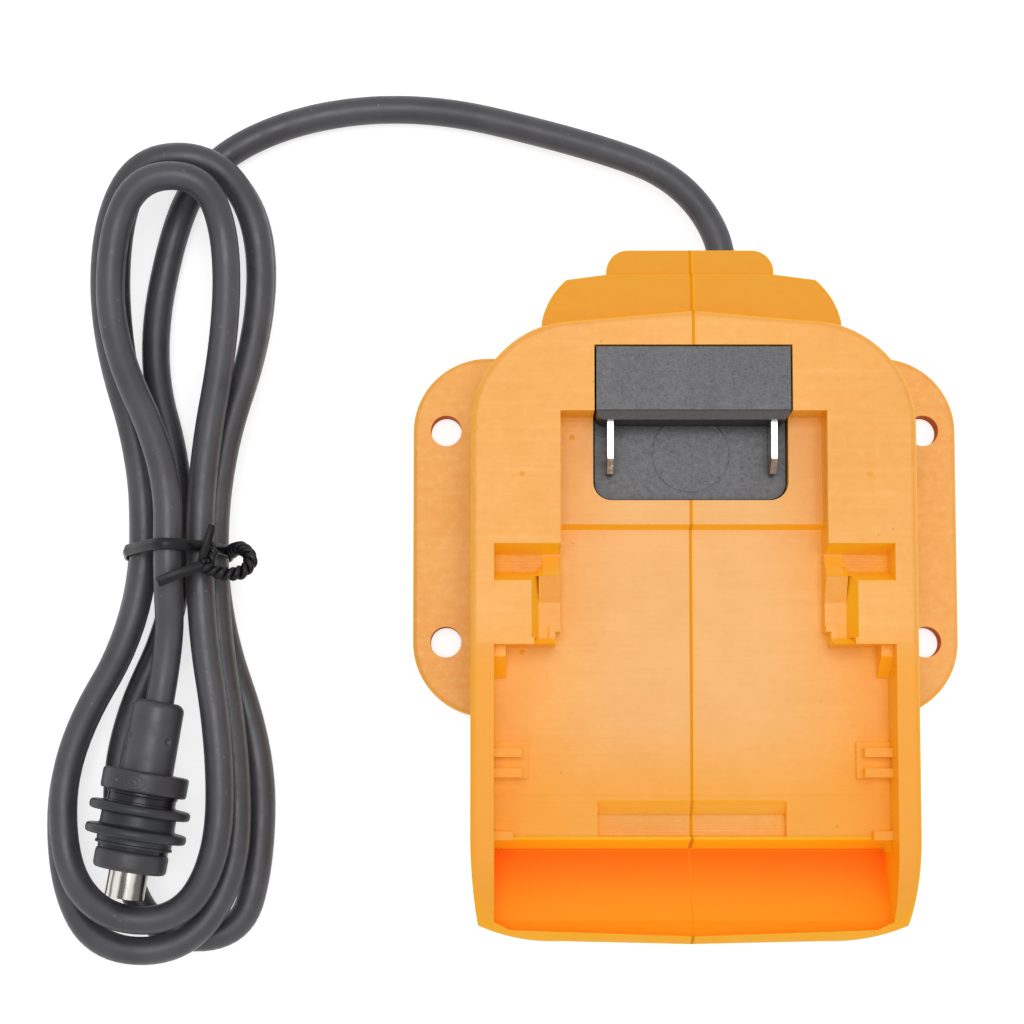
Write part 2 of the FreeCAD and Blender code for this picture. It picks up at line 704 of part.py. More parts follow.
def terminal_block():
    body = new_body("terminal_block")
    plate = outline(body, "BlockPlate", "XY", [
        ("block_corner - block_half_width", "block_bottom"),
        ("block_half_width - block_corner", "block_bottom", "block_corner"),
        ("block_half_width", "block_bottom + block_corner"),
        ("block_half_width", "block_top"),
        ("-block_half_width", "block_top"),
        ("-block_half_width", "block_bottom + block_corner", "block_corner"),
    ], "block_base")
    extrude(body, "Pad", plate, "block_plate - block_base")
    head = outline(body, "BlockHead", "YZ", [
        ("block_head_bottom", "block_base + 0.1"),
        ("block_top", "block_base + 0.1"),
        ("block_top", "body_height"),
        ("block_head_bottom + block_bevel", "body_height"),
        ("block_head_bottom", "body_height - block_bevel"),
    ])
    extrude(body, "Pad", head, "2 * block_half_width", middle=True)
    doc.recompute()
    corners = edges_where(body.Tip.Shape, lambda spot: near(spot.y, size("block_head_bottom"))
                          and near(abs(spot.x), size("block_half_width"))
                          and spot.z > size("block_plate") - 0.1)
    dress(body, "Fillet", "BlockCorners", corners, "block_head_corner")
    foot = "block_half_width + block_flange_reach"
    block(body, "Additive", "BlockFlange",
          ("-(%s)" % foot, "block_bottom - block_flange_reach", "block_base"),
          ("2 * (%s)" % foot, "block_top - block_bottom + 2 * block_flange_reach",
           "deep_floor - wall - block_base - 0.2"))
    for number, sign in (("Right", "1"), ("Left", "-1")):
        near_face = "%s * blade_place - blade_thickness / 2" % sign
        block(body, "Subtractive", "BladeSlot" + number,
              (near_face, "block_head_bottom - 0.1", "blade_bottom"),
              ("blade_thickness", "blade_tail - block_head_bottom + 0.1", "blade_height"))
        block(body, "Subtractive", "TabSlot" + number,
              (near_face, "blade_tail - blade_tab_length", "block_base - 0.1"),
              ("blade_thickness", "blade_tab_length", "blade_bottom - block_base + 0.2"))
    return body


def blade(label, sign):
    body = new_body(label)
    face = outline(body, label + "Face", "YZ", [
        ("blade_tip", "blade_bottom"),
        ("blade_tail - blade_tab_length", "blade_bottom"),
        ("blade_tail - blade_tab_length", "blade_tab_end"),
        ("blade_tail", "blade_tab_end"),
        ("blade_tail", "blade_bottom + blade_height"),
        ("blade_tip + blade_bevel_run", "blade_bottom + blade_height"),
        ("blade_tip", "blade_bottom + blade_height - blade_bevel_drop"),
    ], "%d * blade_place" % sign)
    extrude(body, "Pad", face, "blade_thickness", middle=True)
    return body


def screw_row(label, count, make):
    """Several equal solids in one named group."""
    group = doc.addObject("Part::Compound", label)
    group.Label = label
    group.Links = [make(number) for number in range(count)]
    return group


def bolt(label, start, axis_turn, head_radius, head_height, shank_radius, reach):
    """A pan-head screw: head first, then the shank along the turned axis."""
    head = doc.addObject("Part::Cylinder", label + "Head")
    shank = doc.addObject("Part::Cylinder", label + "Shank")
    tie_to(head, Radius=head_radius, Height=head_height)
    tie_to(shank, Radius=shank_radius, Height="%s + %s" % (head_height, reach))
    slots = []
    for turn in (0, 90):
        slot = doc.addObject("Part::Box", "%sSlot%d" % (label, turn))
        tie_to(slot, Length="%s * 1.2" % head_radius, Width="%s * 0.28" % head_radius,
               Height="%s * 0.5" % head_height)
        slot.Placement = FreeCAD.Placement(Vector(), FreeCAD.Rotation(Vector(0, 0, 1), turn))
        sign = "-1" if turn == 0 else "1"
        tie_to(slot, Placement__Base__x="%s * %s * %s" % (sign, head_radius, 0.6 if turn == 0 else 0.14),
               Placement__Base__y="-1 * %s * %s" % (head_radius, 0.14 if turn == 0 else 0.6))
        slots.append(slot)
    whole = doc.addObject("Part::MultiFuse", label + "Whole")
    whole.Shapes = [head, shank]
    cross = doc.addObject("Part::MultiFuse", label + "Cross")
    cross.Shapes = slots
    cut = doc.addObject("Part::Cut", label)
    cut.Base = whole
    cut.Tool = cross
    cut.Placement = FreeCAD.Placement(Vector(), axis_turn)
    tie_to(cut, Placement__Base__x=start[0], Placement__Base__y=start[1], Placement__Base__z=start[2])
    return cut


def housing_screws():
    turn = FreeCAD.Rotation(Vector(0, 1, 0), -90)
    return screw_row("housing_screws", 4, lambda number: bolt(
        "HousingScrew%d" % number,
        ("screw_head_seat + screw_head_height", "screw_first - %d * screw_pitch" % number, "screw_height"),
        turn, "screw_head_diameter / 2", "screw_head_height", "screw_diameter / 2",
        "(screw_head_seat + screw_reach - 0.3)"))


def clamp_screws():
    turn = FreeCAD.Rotation(Vector(0, 1, 0), 90)
    seat = "cord_place - clamp_gap - clamp_thickness"
    return screw_row("clamp_screws", 2, lambda number: bolt(
        "ClampScrew%d" % number,
        ("%s - clamp_screw_diameter" % seat, "clamp_place",
         "cord_height + (%d - 0.5) * clamp_screw_spacing" % number),
        turn, "clamp_screw_head / 2", "clamp_screw_diameter", "clamp_screw_diameter / 2",
        "(clamp_thickness + clamp_gap + clamp_screw_reach - 1.4)"))


def locating_pins():
    def pin(number):
        dowel = doc.addObject("Part::Cylinder", "LocatingPin%d" % number)
        dowel.Placement = FreeCAD.Placement(Vector(), FreeCAD.Rotation(Vector(0, 1, 0), 90))
        tie_to(dowel, Radius="pin_diameter / 2", Height="2 * pin_reach - 0.4",
               Placement__Base__x="0.2 - pin_reach",
               Placement__Base__y="pin_first - %d * pin_pitch" % number,
               Placement__Base__z="screw_height")
        return dowel
    return screw_row("locating_pins", 2, pin)


def cord_clamp():
    body = new_body("cord_clamp")
    block(body, "Additive", "ClampBar",
          ("cord_place - clamp_gap - clamp_thickness", "clamp_place - clamp_half_length",
           "cord_height - clamp_half_height"),
          ("clamp_thickness", "2 * clamp_half_length", "2 * clamp_half_height"))
    rod(body, "Subtractive", "ClampGroove", "Y",
        ("cord_place", "clamp_place - clamp_half_length - 0.1", "cord_height"),
        "cord_diameter / 2", "2 * clamp_half_length + 0.2")
    for row, sign in (("High", "+"), ("Low", "-")):
        rod(body, "Subtractive", "ClampBarHole" + row, "X",
            ("cord_place - clamp_gap - clamp_thickness - 0.1", "clamp_place",
             "cord_height %s clamp_screw_spacing / 2" % sign),
            "clamp_screw_diameter / 2", "clamp_thickness + 0.2")
    return body


def turned(label, corners, radius_line="V_Axis"):
    """A body turned about its own Y axis. Corners are (radius, distance along -Y)."""
    body = new_body(label)
    sketch = outline(body, label + "Line", "XY", [
        (corner[0], "-(%s)" % corner[1]) + tuple(corner[2:]) for corner in corners])
    feature = body.newObject("PartDesign::Revolution", label + "Turn")
    feature.Profile = sketch
    feature.ReferenceAxis = (sketch, [radius_line])
    feature.Angle = 360
    body.Tip = feature
    return body


def cord_grommet():
    inner = "0 - grommet_lip_inner"
    outer = "bulkhead_thickness + grommet_lip_outer"
    body = turned("cord_grommet", [
        ("cord_diameter / 2", inner),
        ("grommet_lip_diameter / 2", inner),
        ("grommet_lip_diameter / 2", "0"),
        ("grommet_diameter / 2", "0"),
        ("grommet_diameter / 2", "bulkhead_thickness"),
        ("grommet_lip_diameter / 2", "bulkhead_thickness"),
        ("grommet_lip_diameter / 2 - 0.6", outer),
        ("cord_diameter / 2", outer),
    ])
    body.Placement = FreeCAD.Placement(Vector(), FreeCAD.Rotation(Vector(0, 0, 1), 180))
    tie_to(body, Placement__Base__x="cord_place", Placement__Base__y="bulkhead_start",
           Placement__Base__z="cord_height")
    return body


def place_on_plug(body):
    body.Placement = FreeCAD.Placement(Vector(), FreeCAD.Rotation(Vector(0, 0, -1), size("plug_lean")))
    tie_to(body, Placement__Base__x="plug_place_x", Placement__Base__y="plug_place_y",
           Placement__Base__z="plug_height", Placement__Rotation__Angle="plug_lean")
    return body


def plug_pieces():
    collar_start = "boot_length"
    collar_end = "boot_length + collar_length"
    nose_end = "nose_start + nose_length"
    fin_two = "rear_fin_start + fin_pitch"
    bore = "barrel_radius"
    boot = turned("plug_boot", [
        ("0", "0"),
        ("boot_radius - boot_edge", "0"),
        ("boot_radius", "boot_edge"),
        ("boot_radius", collar_start),
        ("collar_radius - collar_edge", collar_start),
        ("collar_radius", "%s + collar_edge" % collar_start),
        ("collar_radius", "%s - collar_edge" % collar_end),
        ("collar_radius - collar_edge", collar_end),
        ("0", collar_end),
    ])
    core = turned("plug_core", [
        ("0", collar_end),
        ("neck_radius", collar_end),
        ("neck_radius", "nose_start"),
        ("nose_radius - 0.2", "nose_start"),
        ("nose_radius", "nose_start + 0.3"),
        ("nose_radius", "%s - nose_round" % nose_end, "-nose_round"),
        ("nose_radius - nose_round", nose_end),
        (bore, nose_end),
        (bore, "barrel_root"),
        ("0", "barrel_root"),
    ])
    rear = turned("plug_seal_rear", [
        ("neck_radius", "rear_fin_start"),
        ("fin_radius - 0.3", "rear_fin_start"),
        ("fin_radius", "rear_fin_start + 0.4"),
        ("fin_radius", "rear_fin_start + fin_thickness - 0.4"),
        ("fin_radius - 0.3", "rear_fin_start + fin_thickness"),
        ("neck_radius", "rear_fin_start + fin_thickness"),
    ])
    front = turned("plug_seal_front", [
        ("neck_radius", "rear_fin_start + fin_thickness"),
        ("sleeve_radius", "rear_fin_start + fin_thickness"),
        ("sleeve_radius", fin_two),
        ("fin_radius - 0.3", fin_two),
        ("fin_radius", "%s + 0.4" % fin_two),
        ("fin_radius", "%s + fin_thickness - 0.4" % fin_two),
        ("fin_radius - 0.3", "%s + fin_thickness" % fin_two),
        ("sleeve_radius", "%s + fin_thickness" % fin_two),
        ("sleeve_radius", "nose_start - 0.6"),
        ("neck_radius", "nose_start - 0.6"),
    ])
    barrel = turned("plug_barrel", [
        ("barrel_radius - barrel_wall", "barrel_root"),
        ("barrel_radius", "barrel_root"),
        ("barrel_radius", "barrel_end - 0.3"),
        ("barrel_radius - 0.3", "barrel_end"),
        ("barrel_radius - barrel_wall", "barrel_end"),
    ])
    insulator = turned("plug_insulator", [
        ("contact_radius", "barrel_root"),
        ("barrel_radius - barrel_wall", "barrel_root"),
        ("barrel_radius - barrel_wall", "insulator_end"),
        ("contact_radius", "insulator_end"),
    ])
    contact = turned("plug_centre_contact", [
        ("0", "barrel_root"),
        ("contact_radius", "barrel_root"),
        ("contact_radius", "contact_end - 0.4"),
        ("contact_radius - 0.3", "contact_end"),
        ("0", "contact_end"),
    ])
    return [place_on_plug(body) for body in (boot, core, rear, front, barrel, insulator, contact)]


def path_of_runs(points, share=0.45, radii=None):
    """Straight runs joined by tangent arcs, each as large as its two runs allow."""
    edges = []
    last = points[0]
    for before, corner, after in zip(points, points[1:], points[2:]):
        run_in = (corner - before).Length
        run_out = (after - corner).Length
        way_in = (corner - before).normalize()
        way_out = (after - corner).normalize()
        half_turn = way_in.getAngle(way_out) / 2
        reach = share * min(run_in, run_out)
        radius = reach / math.tan(half_turn)
        start = corner - way_in * reach
        end = corner + way_out * reach
        inward = (way_out - way_in).normalize()
        middle = corner + inward * (radius / math.cos(half_turn) - radius)
        edges.append(Part.LineSegment(last, start).toShape())
        edges.append(Part.Arc(start, middle, end).toShape())
        last = end
        if radii is not None:
            radii.append(round(radius, 1))
    edges.append(Part.LineSegment(last, points[-1]).toShape())
    return Part.Wire(edges)


def tube(label, wire, diameter):
    """A round tube along a wire, as a feature of the document."""
    edge = wire.Edges[0]
    start = edge.valueAt(edge.FirstParameter)
    way = edge.tangentAt(edge.FirstParameter)
    if (start - wire.OrderedVertexes[0].Point).Length > 1e-6:
        start = edge.valueAt(edge.LastParameter)
        way = edge.tangentAt(edge.LastParameter) * -1
    section = Part.Wire(Part.Circle(start, way, diameter / 2).toShape())
    feature = doc.addObject("Part::Feature", label)
    feature.Label = label
    feature.Shape = wire.makePipeShell([section], True, False)
    return feature


def core_wires():
    """The two insulated cores between the end of the jacket and the solder tabs."""
    made = []
    for label, sign in (("positive_wire", 1), ("negative_wire", -1)):
        place = size("cord_place") + sign * size("core_spacing") / 2
        height = size("cord_height")
        level = size("blade_tail - blade_tab_length / 2")
        bend = size("core_bend")
        tab = sign * (size("blade_place") - size("blade_thickness") / 2)
        start = Vector(place, size("tail_end"), height)
        down = Vector(place, level + bend, height)
        turned_to = Vector(place + sign * bend, level, height)
        middle = Vector(place + sign * bend * (1 - math.cos(math.pi / 4)),
                        level + bend * (1 - math.sin(math.pi / 4)), height)
        edges = [Part.LineSegment(start, down).toShape(), Part.Arc(down, middle, turned_to).toShape(),
                 Part.LineSegment(turned_to, Vector(tab, level, height)).toShape()]
        made.append(tube(label, Part.Wire(edges), size("core_diameter")))
    return made


def cord_tail():
    tail = doc.addObject("Part::Cylinder", "cord_tail")
    tail.Label = "cord_tail"
    tail.Placement = FreeCAD.Placement(Vector(), FreeCAD.Rotation(Vector(1, 0, 0), -90))
    tie_to(tail, Radius="cord_diameter / 2",
           Height="bulkhead_start + bulkhead_thickness + grommet_lip_outer - tail_end",
           Placement__Base__x="cord_place", Placement__Base__y="tail_end",
           Placement__Base__z="cord_height")
    return tail


# The free stretch, from the grommet over to the hank. Its first point is the grommet's face.
LEAD_BENDS = [
    (7.4, 51.9, 8.0),
    (3.9, 60.9, 7.4),
    (-2.6, 67.9, 6.6),
    (-11.2, 72.2, 5.6),
    (-28.0, 77.7, 3.8),
    (-45.5, 82.2, 2.6),
    (-62.5, 82.4, 2.6),
    (-78.0, 78.8, 2.6),
    (-89.8, 72.1, 2.6),
    (-96.6, 61.8, 2.6),
]
HANK_START = (-98.6, 50.8, 2.6)

# Each loop of the hank, as (x, y, z): the lower bow on its left, bottom and right, then the way
# up through the waist, then the upper bow on its right, top and left, then the way down.
LOOPS = [
    [(-106.4, -50.8, 2.6), (-90.5, -75.1, 2.6), (-79.4, -53.9, 2.6), (-88.4, -1.0, 4.8),
     (-80.1, 53.2, 2.6), (-95.2, 70.4, 8.9), (-107.6, 52.6, 4.0), (-101.5, -0.6, 6.2)],
    [(-116.8, -56.2, 2.6), (-100.4, -77.1, 8.6), (-83.2, -55.5, 8.3), (-87.5, -2.1, 10.5),
     (-79.8, 51.1, 8.3), (-94.4, 69.2, 14.6), (-108.7, 50.6, 9.9), (-100.2, -1.8, 12.1)],
    [(-115.2, -54.6, 8.4), (-99.6, -71.3, 12.5), (-85.6, -52.1, 14.0), (-89.4, -3.3, 16.0),
     (-85.3, 49.0, 14.0), (-94.7, 64.1, 19.6), (-106.2, 48.1, 16.6), (-94.5, -2.7, 20.4)],
]
# The way that the cord points at each of those places.
LOOP_WAYS = [(0, -1), (1, 0), (0, 1), (0, 1), (0, 1), (-1, 0), (0, -1), (0, -1)]
WAIST_DOWN = (-94.8, -0.4, 4.8)
WAIST_PLACES = (3, 7)


def biarc(start, start_way, end, end_way):
    """Two arcs that join two places and keep the way the cord points at each."""
    span = end - start
    both = start_way + end_way
    gap = 2 * (1 - start_way.dot(end_way))
    if gap < 1e-9:
        reach = span.dot(span) / (4 * span.dot(end_way))
    else:
        reach = (-span.dot(both) + math.sqrt(span.dot(both) ** 2 + gap * span.dot(span))) / gap
    meet = (start + end + (start_way - end_way) * reach) * 0.5
    return [arc_from(start, start_way, meet), arc_from(end, end_way * -1, meet, flip=True)]


def arc_from(start, way, end, flip=False):
    chord = end - start
    half = chord.Length / 2
    along = Vector(chord).normalize()
    turn = math.acos(max(-1, min(1, way.dot(along))))
    side = way - along * way.dot(along)
    if turn < 1e-4:
        return Part.LineSegment(end, start).toShape() if flip else Part.LineSegment(start, end).toShape()
    middle = (start + end) * 0.5 + side.normalize() * half * math.tan(turn / 2)
    first, last = (end, start) if flip else (start, end)
    return Part.Arc(first, middle, last).toShape()


def hank_wire():
    """The whole hank as one line: loops drawn in at the waist, each above the one before."""
    diameter = size("cord_diameter")
    lean = math.radians(size("plug_lean"))
    plug_way = Vector(-math.sin(lean), -math.cos(lean), 0)
    plug_top = Vector(size("plug_place_x"), size("plug_place_y"), size("plug_height"))
    start = Vector(*HANK_START)
    start_way = (start - Vector(*LEAD_BENDS[-1])).normalize()
    stations = [(start + start_way * diameter, start_way), (Vector(*WAIST_DOWN), Vector(0, -1, 0))]
    for loop in LOOPS:
        for place, (way_x, way_y) in zip(loop, LOOP_WAYS):
            stations.append((Vector(*place), Vector(way_x, way_y, 0)))
    stations.append((plug_top - plug_way * diameter, plug_way))
    edges = [Part.LineSegment(start, stations[0][0]).toShape()]
    for (here, way), (there, there_way) in zip(stations, stations[1:]):
        edges += biarc(here, way, there, there_way)
    edges.append(Part.LineSegment(stations[-1][0], plug_top).toShape())
    return Part.Wire(edges)


def least_self_gap(wire, diameter, step=0.8):
    """The least clear distance between two stretches of a tube that are not neighbours."""
    spots = []
    along = 0.0
    for edge in wire.Edges:
        count = max(2, int(edge.Length / step))
        first, last = edge.ParameterRange
        for number in range(count):
            spots.append((along + edge.Length * number / count,
                          edge.valueAt(first + (last - first) * number / count)))
        along += edge.Length
    least = 1e9
    for index, (here, spot) in enumerate(spots):
        for there, other in spots[index + 1:]:
            if there - here > 3.5 * diameter:
                gap = (spot - other).Length - diameter
                if gap < least:
                    least = gap
                    where = (spot, other)
    return least, where


def lead_and_hank():
    diameter = size("cord_diameter")
    grommet_face = size("bulkhead_start + bulkhead_thickness + grommet_lip_outer")
    start = Vector(size("cord_place"), grommet_face, size("cord_height"))
    points = [start] + [Vector(*bend) for bend in LEAD_BENDS] + [Vector(*HANK_START)]
    radii = []
    lead_wire = path_of_runs(points, radii=radii)
    lead = tube("lead_cable", lead_wire, diameter)
    area = math.pi * diameter ** 2 / 4
    print("lead radii", radii)
    print("lead runs", [round((b - a).Length, 1) for a, b in zip(points, points[1:])])
    print("lead length %.1f, volume over section times length %.5f"
          % (lead_wire.Length, lead.Shape.Volume / (area * lead_wire.Length)))
    wire = hank_wire()
    hank = tube("cable_hank", wire, diameter)
    gap, where = least_self_gap(wire, diameter)
    print("hank length %.1f, volume ratio %.5f, least gap %.2f mm"
          % (wire.Length, hank.Shape.Volume / (area * wire.Length), gap), where)
    return [lead, hank]


def hull_round(spots):
    """The outermost of some (x, z) places, in order round them and against the clock."""
    spots = sorted(spots)
    rounds = []
    for ordered in (spots, spots[::-1]):
        half = []
        for spot in ordered:
            while len(half) > 1 and ((half[-1][0] - half[-2][0]) * (spot[1] - half[-2][1])
                                     - (half[-1][1] - half[-2][1]) * (spot[0] - half[-2][0])) <= 0:
                half.pop()
            half.append(spot)
        rounds += half[:-1]
    return rounds


# The two ends of the tie: a stiff curl that comes back over the hank, and a short upright end.
TIE_CURL = [(-80.6, -5.6, 13.6), (-78.0, -8.0, 16.8), (-80.2, -11.0, 19.4), (-84.4, -11.2, 20.8),
            (-88.2, -9.6, 21.6), (-95.4, -11.8, 24.4)]
TIE_UPRIGHT = [(-86.2, -10.6, 21.2), (-87.0, -6.6, 22.4), (-85.6, -1.2, 23.2)]


def cable_tie():
    """The band drawn tight round the waist, and its ends."""
    place = size("tie_place")
    reach = size("cord_diameter / 2 + tie_diameter / 2 + tie_slack")
    waist = [(WAIST_DOWN[0], WAIST_DOWN[2])]
    for loop in LOOPS:
        waist += [(loop[index][0], loop[index][2]) for index in WAIST_PLACES]
    hull = hull_round(waist)
    edges = []
    last = None
    for index, (x, z) in enumerate(hull):
        before = hull[index - 1]
        after = hull[(index + 1) % len(hull)]
        turn_in = math.atan2(z - before[1], x - before[0]) - math.pi / 2
        turn_out = math.atan2(after[1] - z, after[0] - x) - math.pi / 2
        if turn_out < turn_in:
            turn_out += 2 * math.pi
        start, middle, end = [Vector(x + reach * math.cos(turn), place, z + reach * math.sin(turn))
                              for turn in (turn_in, (turn_in + turn_out) / 2, turn_out)]
        if last is not None:
            edges.append(Part.LineSegment(last, start).toShape())
        else:
            first = start
        edges.append(Part.Arc(start, middle, end).toShape())
        last = end
    edges.append(Part.LineSegment(last, first).toShape())
    band = tube("TieBand", Part.Wire(edges), size("tie_diameter"))
    widest = max(waist)
    side = Vector(widest[0] + reach, place, widest[1])
    curl = [side] + [Vector(*spot) for spot in TIE_CURL]
    upright = [Vector(*spot) for spot in TIE_UPRIGHT]
    solids = [band]
    for number, points in enumerate((curl, upright)):
        solids.append(tube("TieTail%d" % number, path_of_runs(points), size("tie_diameter")))
    whole = doc.addObject("Part::MultiFuse", "cable_tie")
    whole.Label = "cable_tie"
    whole.Shapes = solids
    return whole


nodes = [shell_half(-1, "left_housing"), shell_half(1, "right_housing")]
nodes.append(terminal_block())
nodes.append(blade("positive_blade", 1))
nodes.append(blade("negative_blade", -1))
nodes.append(housing_screws())
nodes.append(locating_pins())
nodes.append(cord_grommet())
nodes.append(cord_clamp())
nodes.append(clamp_screws())
nodes.append(cord_tail())
nodes += core_wires()
nodes += lead_and_hank()
nodes += plug_pieces()
nodes.append(cable_tie())
doc.recompute()

failed = [thing.Label for thing in doc.Objects if "Invalid" in thing.State or "Error" in thing.State]
if failed:
    raise RuntimeError("these failed: %s" % ", ".join(failed))
os.makedirs("parts", exist_ok=True)
for node in nodes:
    if node.Shape.isNull() or not node.Shape.isValid():
        raise RuntimeError("%s has no valid shape" % node.Label)
for node in nodes:
    node.Shape.exportStep("parts/%s.step" % node.Label)
    box = node.Shape.BoundBox
    print("%-20s solids %d volume %8.1f  x %.1f..%.1f y %.1f..%.1f z %.1f..%.1f"
          % (node.Label, len(node.Shape.Solids), node.Shape.Volume, box.XMin, box.XMax,
             box.YMin, box.YMax, box.ZMin, box.ZMax))
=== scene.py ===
import json
import math

import bmesh
import bpy
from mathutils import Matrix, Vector


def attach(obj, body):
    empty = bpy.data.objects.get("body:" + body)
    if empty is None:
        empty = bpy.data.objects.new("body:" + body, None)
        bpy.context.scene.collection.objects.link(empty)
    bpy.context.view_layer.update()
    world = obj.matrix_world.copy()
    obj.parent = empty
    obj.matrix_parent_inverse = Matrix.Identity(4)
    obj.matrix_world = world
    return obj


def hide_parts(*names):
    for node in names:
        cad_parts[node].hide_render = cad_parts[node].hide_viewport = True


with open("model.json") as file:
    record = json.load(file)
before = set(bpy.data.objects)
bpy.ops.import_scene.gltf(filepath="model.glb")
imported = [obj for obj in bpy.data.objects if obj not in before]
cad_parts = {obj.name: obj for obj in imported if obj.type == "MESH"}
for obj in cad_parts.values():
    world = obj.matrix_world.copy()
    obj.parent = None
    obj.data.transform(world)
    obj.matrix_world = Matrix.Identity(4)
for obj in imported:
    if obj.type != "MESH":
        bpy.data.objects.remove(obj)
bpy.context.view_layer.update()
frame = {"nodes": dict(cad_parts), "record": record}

MM = 0.001
MICRON = 1e-6
TINY = 1e-9


def mm(*values):
    """A point given in millimetres."""
    return Vector([value * MM for value in values])


def add_object(name, data):
    """A new object with this data, in the scene."""
    made = bpy.data.objects.new(name, data)
    bpy.context.scene.collection.objects.link(made)
    return made


# ---------------------------------------------------------------- camera
IMAGE = 1024
FOCAL_PIXELS = 2000
SENSOR_WIDTH = 36
CAMERA_PLACE = (-32.59, -48.33, 377.54)
CAMERA_TILT = 3.95
CAMERA_SHIFT = 0.14
camera_data = bpy.data.cameras.new("camera")
camera_data.sensor_width = SENSOR_WIDTH
camera_data.lens = FOCAL_PIXELS / IMAGE * SENSOR_WIDTH
camera_data.shift_y = CAMERA_SHIFT
camera_data.clip_start = 0.02
camera_data.clip_end = 10
camera = add_object("camera", camera_data)
camera.location = mm(*CAMERA_PLACE)
camera.rotation_euler = (math.radians(CAMERA_TILT), 0, 0)
bpy.context.scene.camera = camera

# ---------------------------------------------------------------- cord
CORD_DIAMETER = 5.2
LEAD_START = (7.4, 42.3, 8.0)
LEAD_BENDS = [
    (7.4, 51.9, 8.0), (3.9, 60.9, 7.4), (-2.6, 67.9, 6.6), (-11.2, 72.2, 5.6), (-28.0, 77.7, 3.8),
    (-45.5, 82.2, 2.6), (-62.5, 82.4, 2.6), (-78.0, 78.8, 2.6), (-89.8, 72.1, 2.6), (-96.6, 61.8, 2.6),
]
HANK_START = (-98.6, 50.8, 2.6)
# Three loops, each by the two sides of the lower fold, its middle, the waist on the way up,
# the same three at the upper fold, and the waist on the way down.
LOOPS = [
    [(-106.4, -50.8, 2.6), (-90.5, -75.1, 2.6), (-79.4, -53.9, 2.6), (-88.4, -1.0, 4.8),
     (-80.1, 53.2, 2.6), (-95.2, 70.4, 8.9), (-107.6, 52.6, 4.0), (-101.5, -0.6, 6.2)],
    [(-116.8, -56.2, 2.6), (-100.4, -77.1, 8.6), (-83.2, -55.5, 8.3), (-87.5, -2.1, 10.5),
     (-79.8, 51.1, 8.3), (-94.4, 69.2, 14.6), (-108.7, 50.6, 9.9), (-100.2, -1.8, 12.1)],
    [(-115.2, -54.6, 8.4), (-99.6, -71.3, 12.5), (-85.6, -52.1, 14.0), (-89.4, -3.3, 16.0),
     (-85.3, 49.0, 14.0), (-94.7, 64.1, 19.6), (-106.2, 48.1, 16.6), (-94.5, -2.7, 20.4)],
]
LOOP_WAYS = [(0, -1), (1, 0), (0, 1), (0, 1), (0, 1), (-1, 0), (0, -1), (0, -1)]
WAIST_STATIONS = (3, 7)
WAIST_DOWN = (-94.8, -0.4, 4.8)
PLUG_TOP = Vector((-96.5, -31.7, 15.0))
PLUG_LEAN = math.radians(9.6)
PLUG_WAY = Vector((-math.sin(PLUG_LEAN), -math.cos(PLUG_LEAN), 0))
PLUG_SIDE = PLUG_WAY.cross(Vector((0, 0, 1))).normalized()


def hank_route():
    """The corners of the hank's route: two between each station and the next, as in part.py."""
    start_way = (Vector(HANK_START) - Vector(LEAD_BENDS[-1])).normalized()
    stations = [(Vector(HANK_START) + start_way * CORD_DIAMETER, start_way),
                (Vector(WAIST_DOWN), Vector((0, -1, 0)))]
    for loop in LOOPS:
        stations += [(Vector(place), Vector((*way, 0))) for place, way in zip(loop, LOOP_WAYS)]
    stations.append((PLUG_TOP - PLUG_WAY * CORD_DIAMETER, PLUG_WAY))
    corners = []
    for (start, way_out), (end, way_in) in zip(stations, stations[1:]):
        span = end - start
        forward = span.dot(way_out + way_in)
        open_by = 2 * (1 - way_out.dot(way_in))
        if open_by < TINY:
            reach = span.length_squared / (4 * span.dot(way_in))
        else:
            reach = (math.sqrt(forward ** 2 + open_by * span.length_squared) - forward) / open_by
        corners += [start + way_out * reach, end - way_in * reach]
    return corners


def nurbs(name, points, order, resolution, closed=False):
    """Curve data with one smooth spline through control points."""
    data = bpy.data.curves.new(name, "CURVE")
    data.dimensions = "3D"
    spline = data.splines.new("NURBS")
    spline.points.add(len(points) - 1)
    for point, place in zip(spline.points, points):
        point.co = (*place, 1)
    spline.order_u = order
    spline.use_endpoint_u = not closed
    spline.use_cyclic_u = closed
    spline.resolution_u = resolution
    return data


def tube_curve(name, points, diameter):
    """A round cord along a smooth spline through control points in millimetres."""
    data = nurbs(name, [mm(*place) for place in points], order=3, resolution=10)
    for point in data.splines[0].points:
        point.radius = diameter / 2 * MM
    data.bevel_depth = 1  # times each point's radius, which also counts in the object's box
    data.bevel_resolution = 7
    data.use_fill_caps = True
    return add_object(name, data)


lead = tube_curve("lead", [LEAD_START, *LEAD_BENDS, *hank_route(), PLUG_TOP], CORD_DIAMETER)
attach(lead, "root")
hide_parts("lead_cable", "cable_hank")


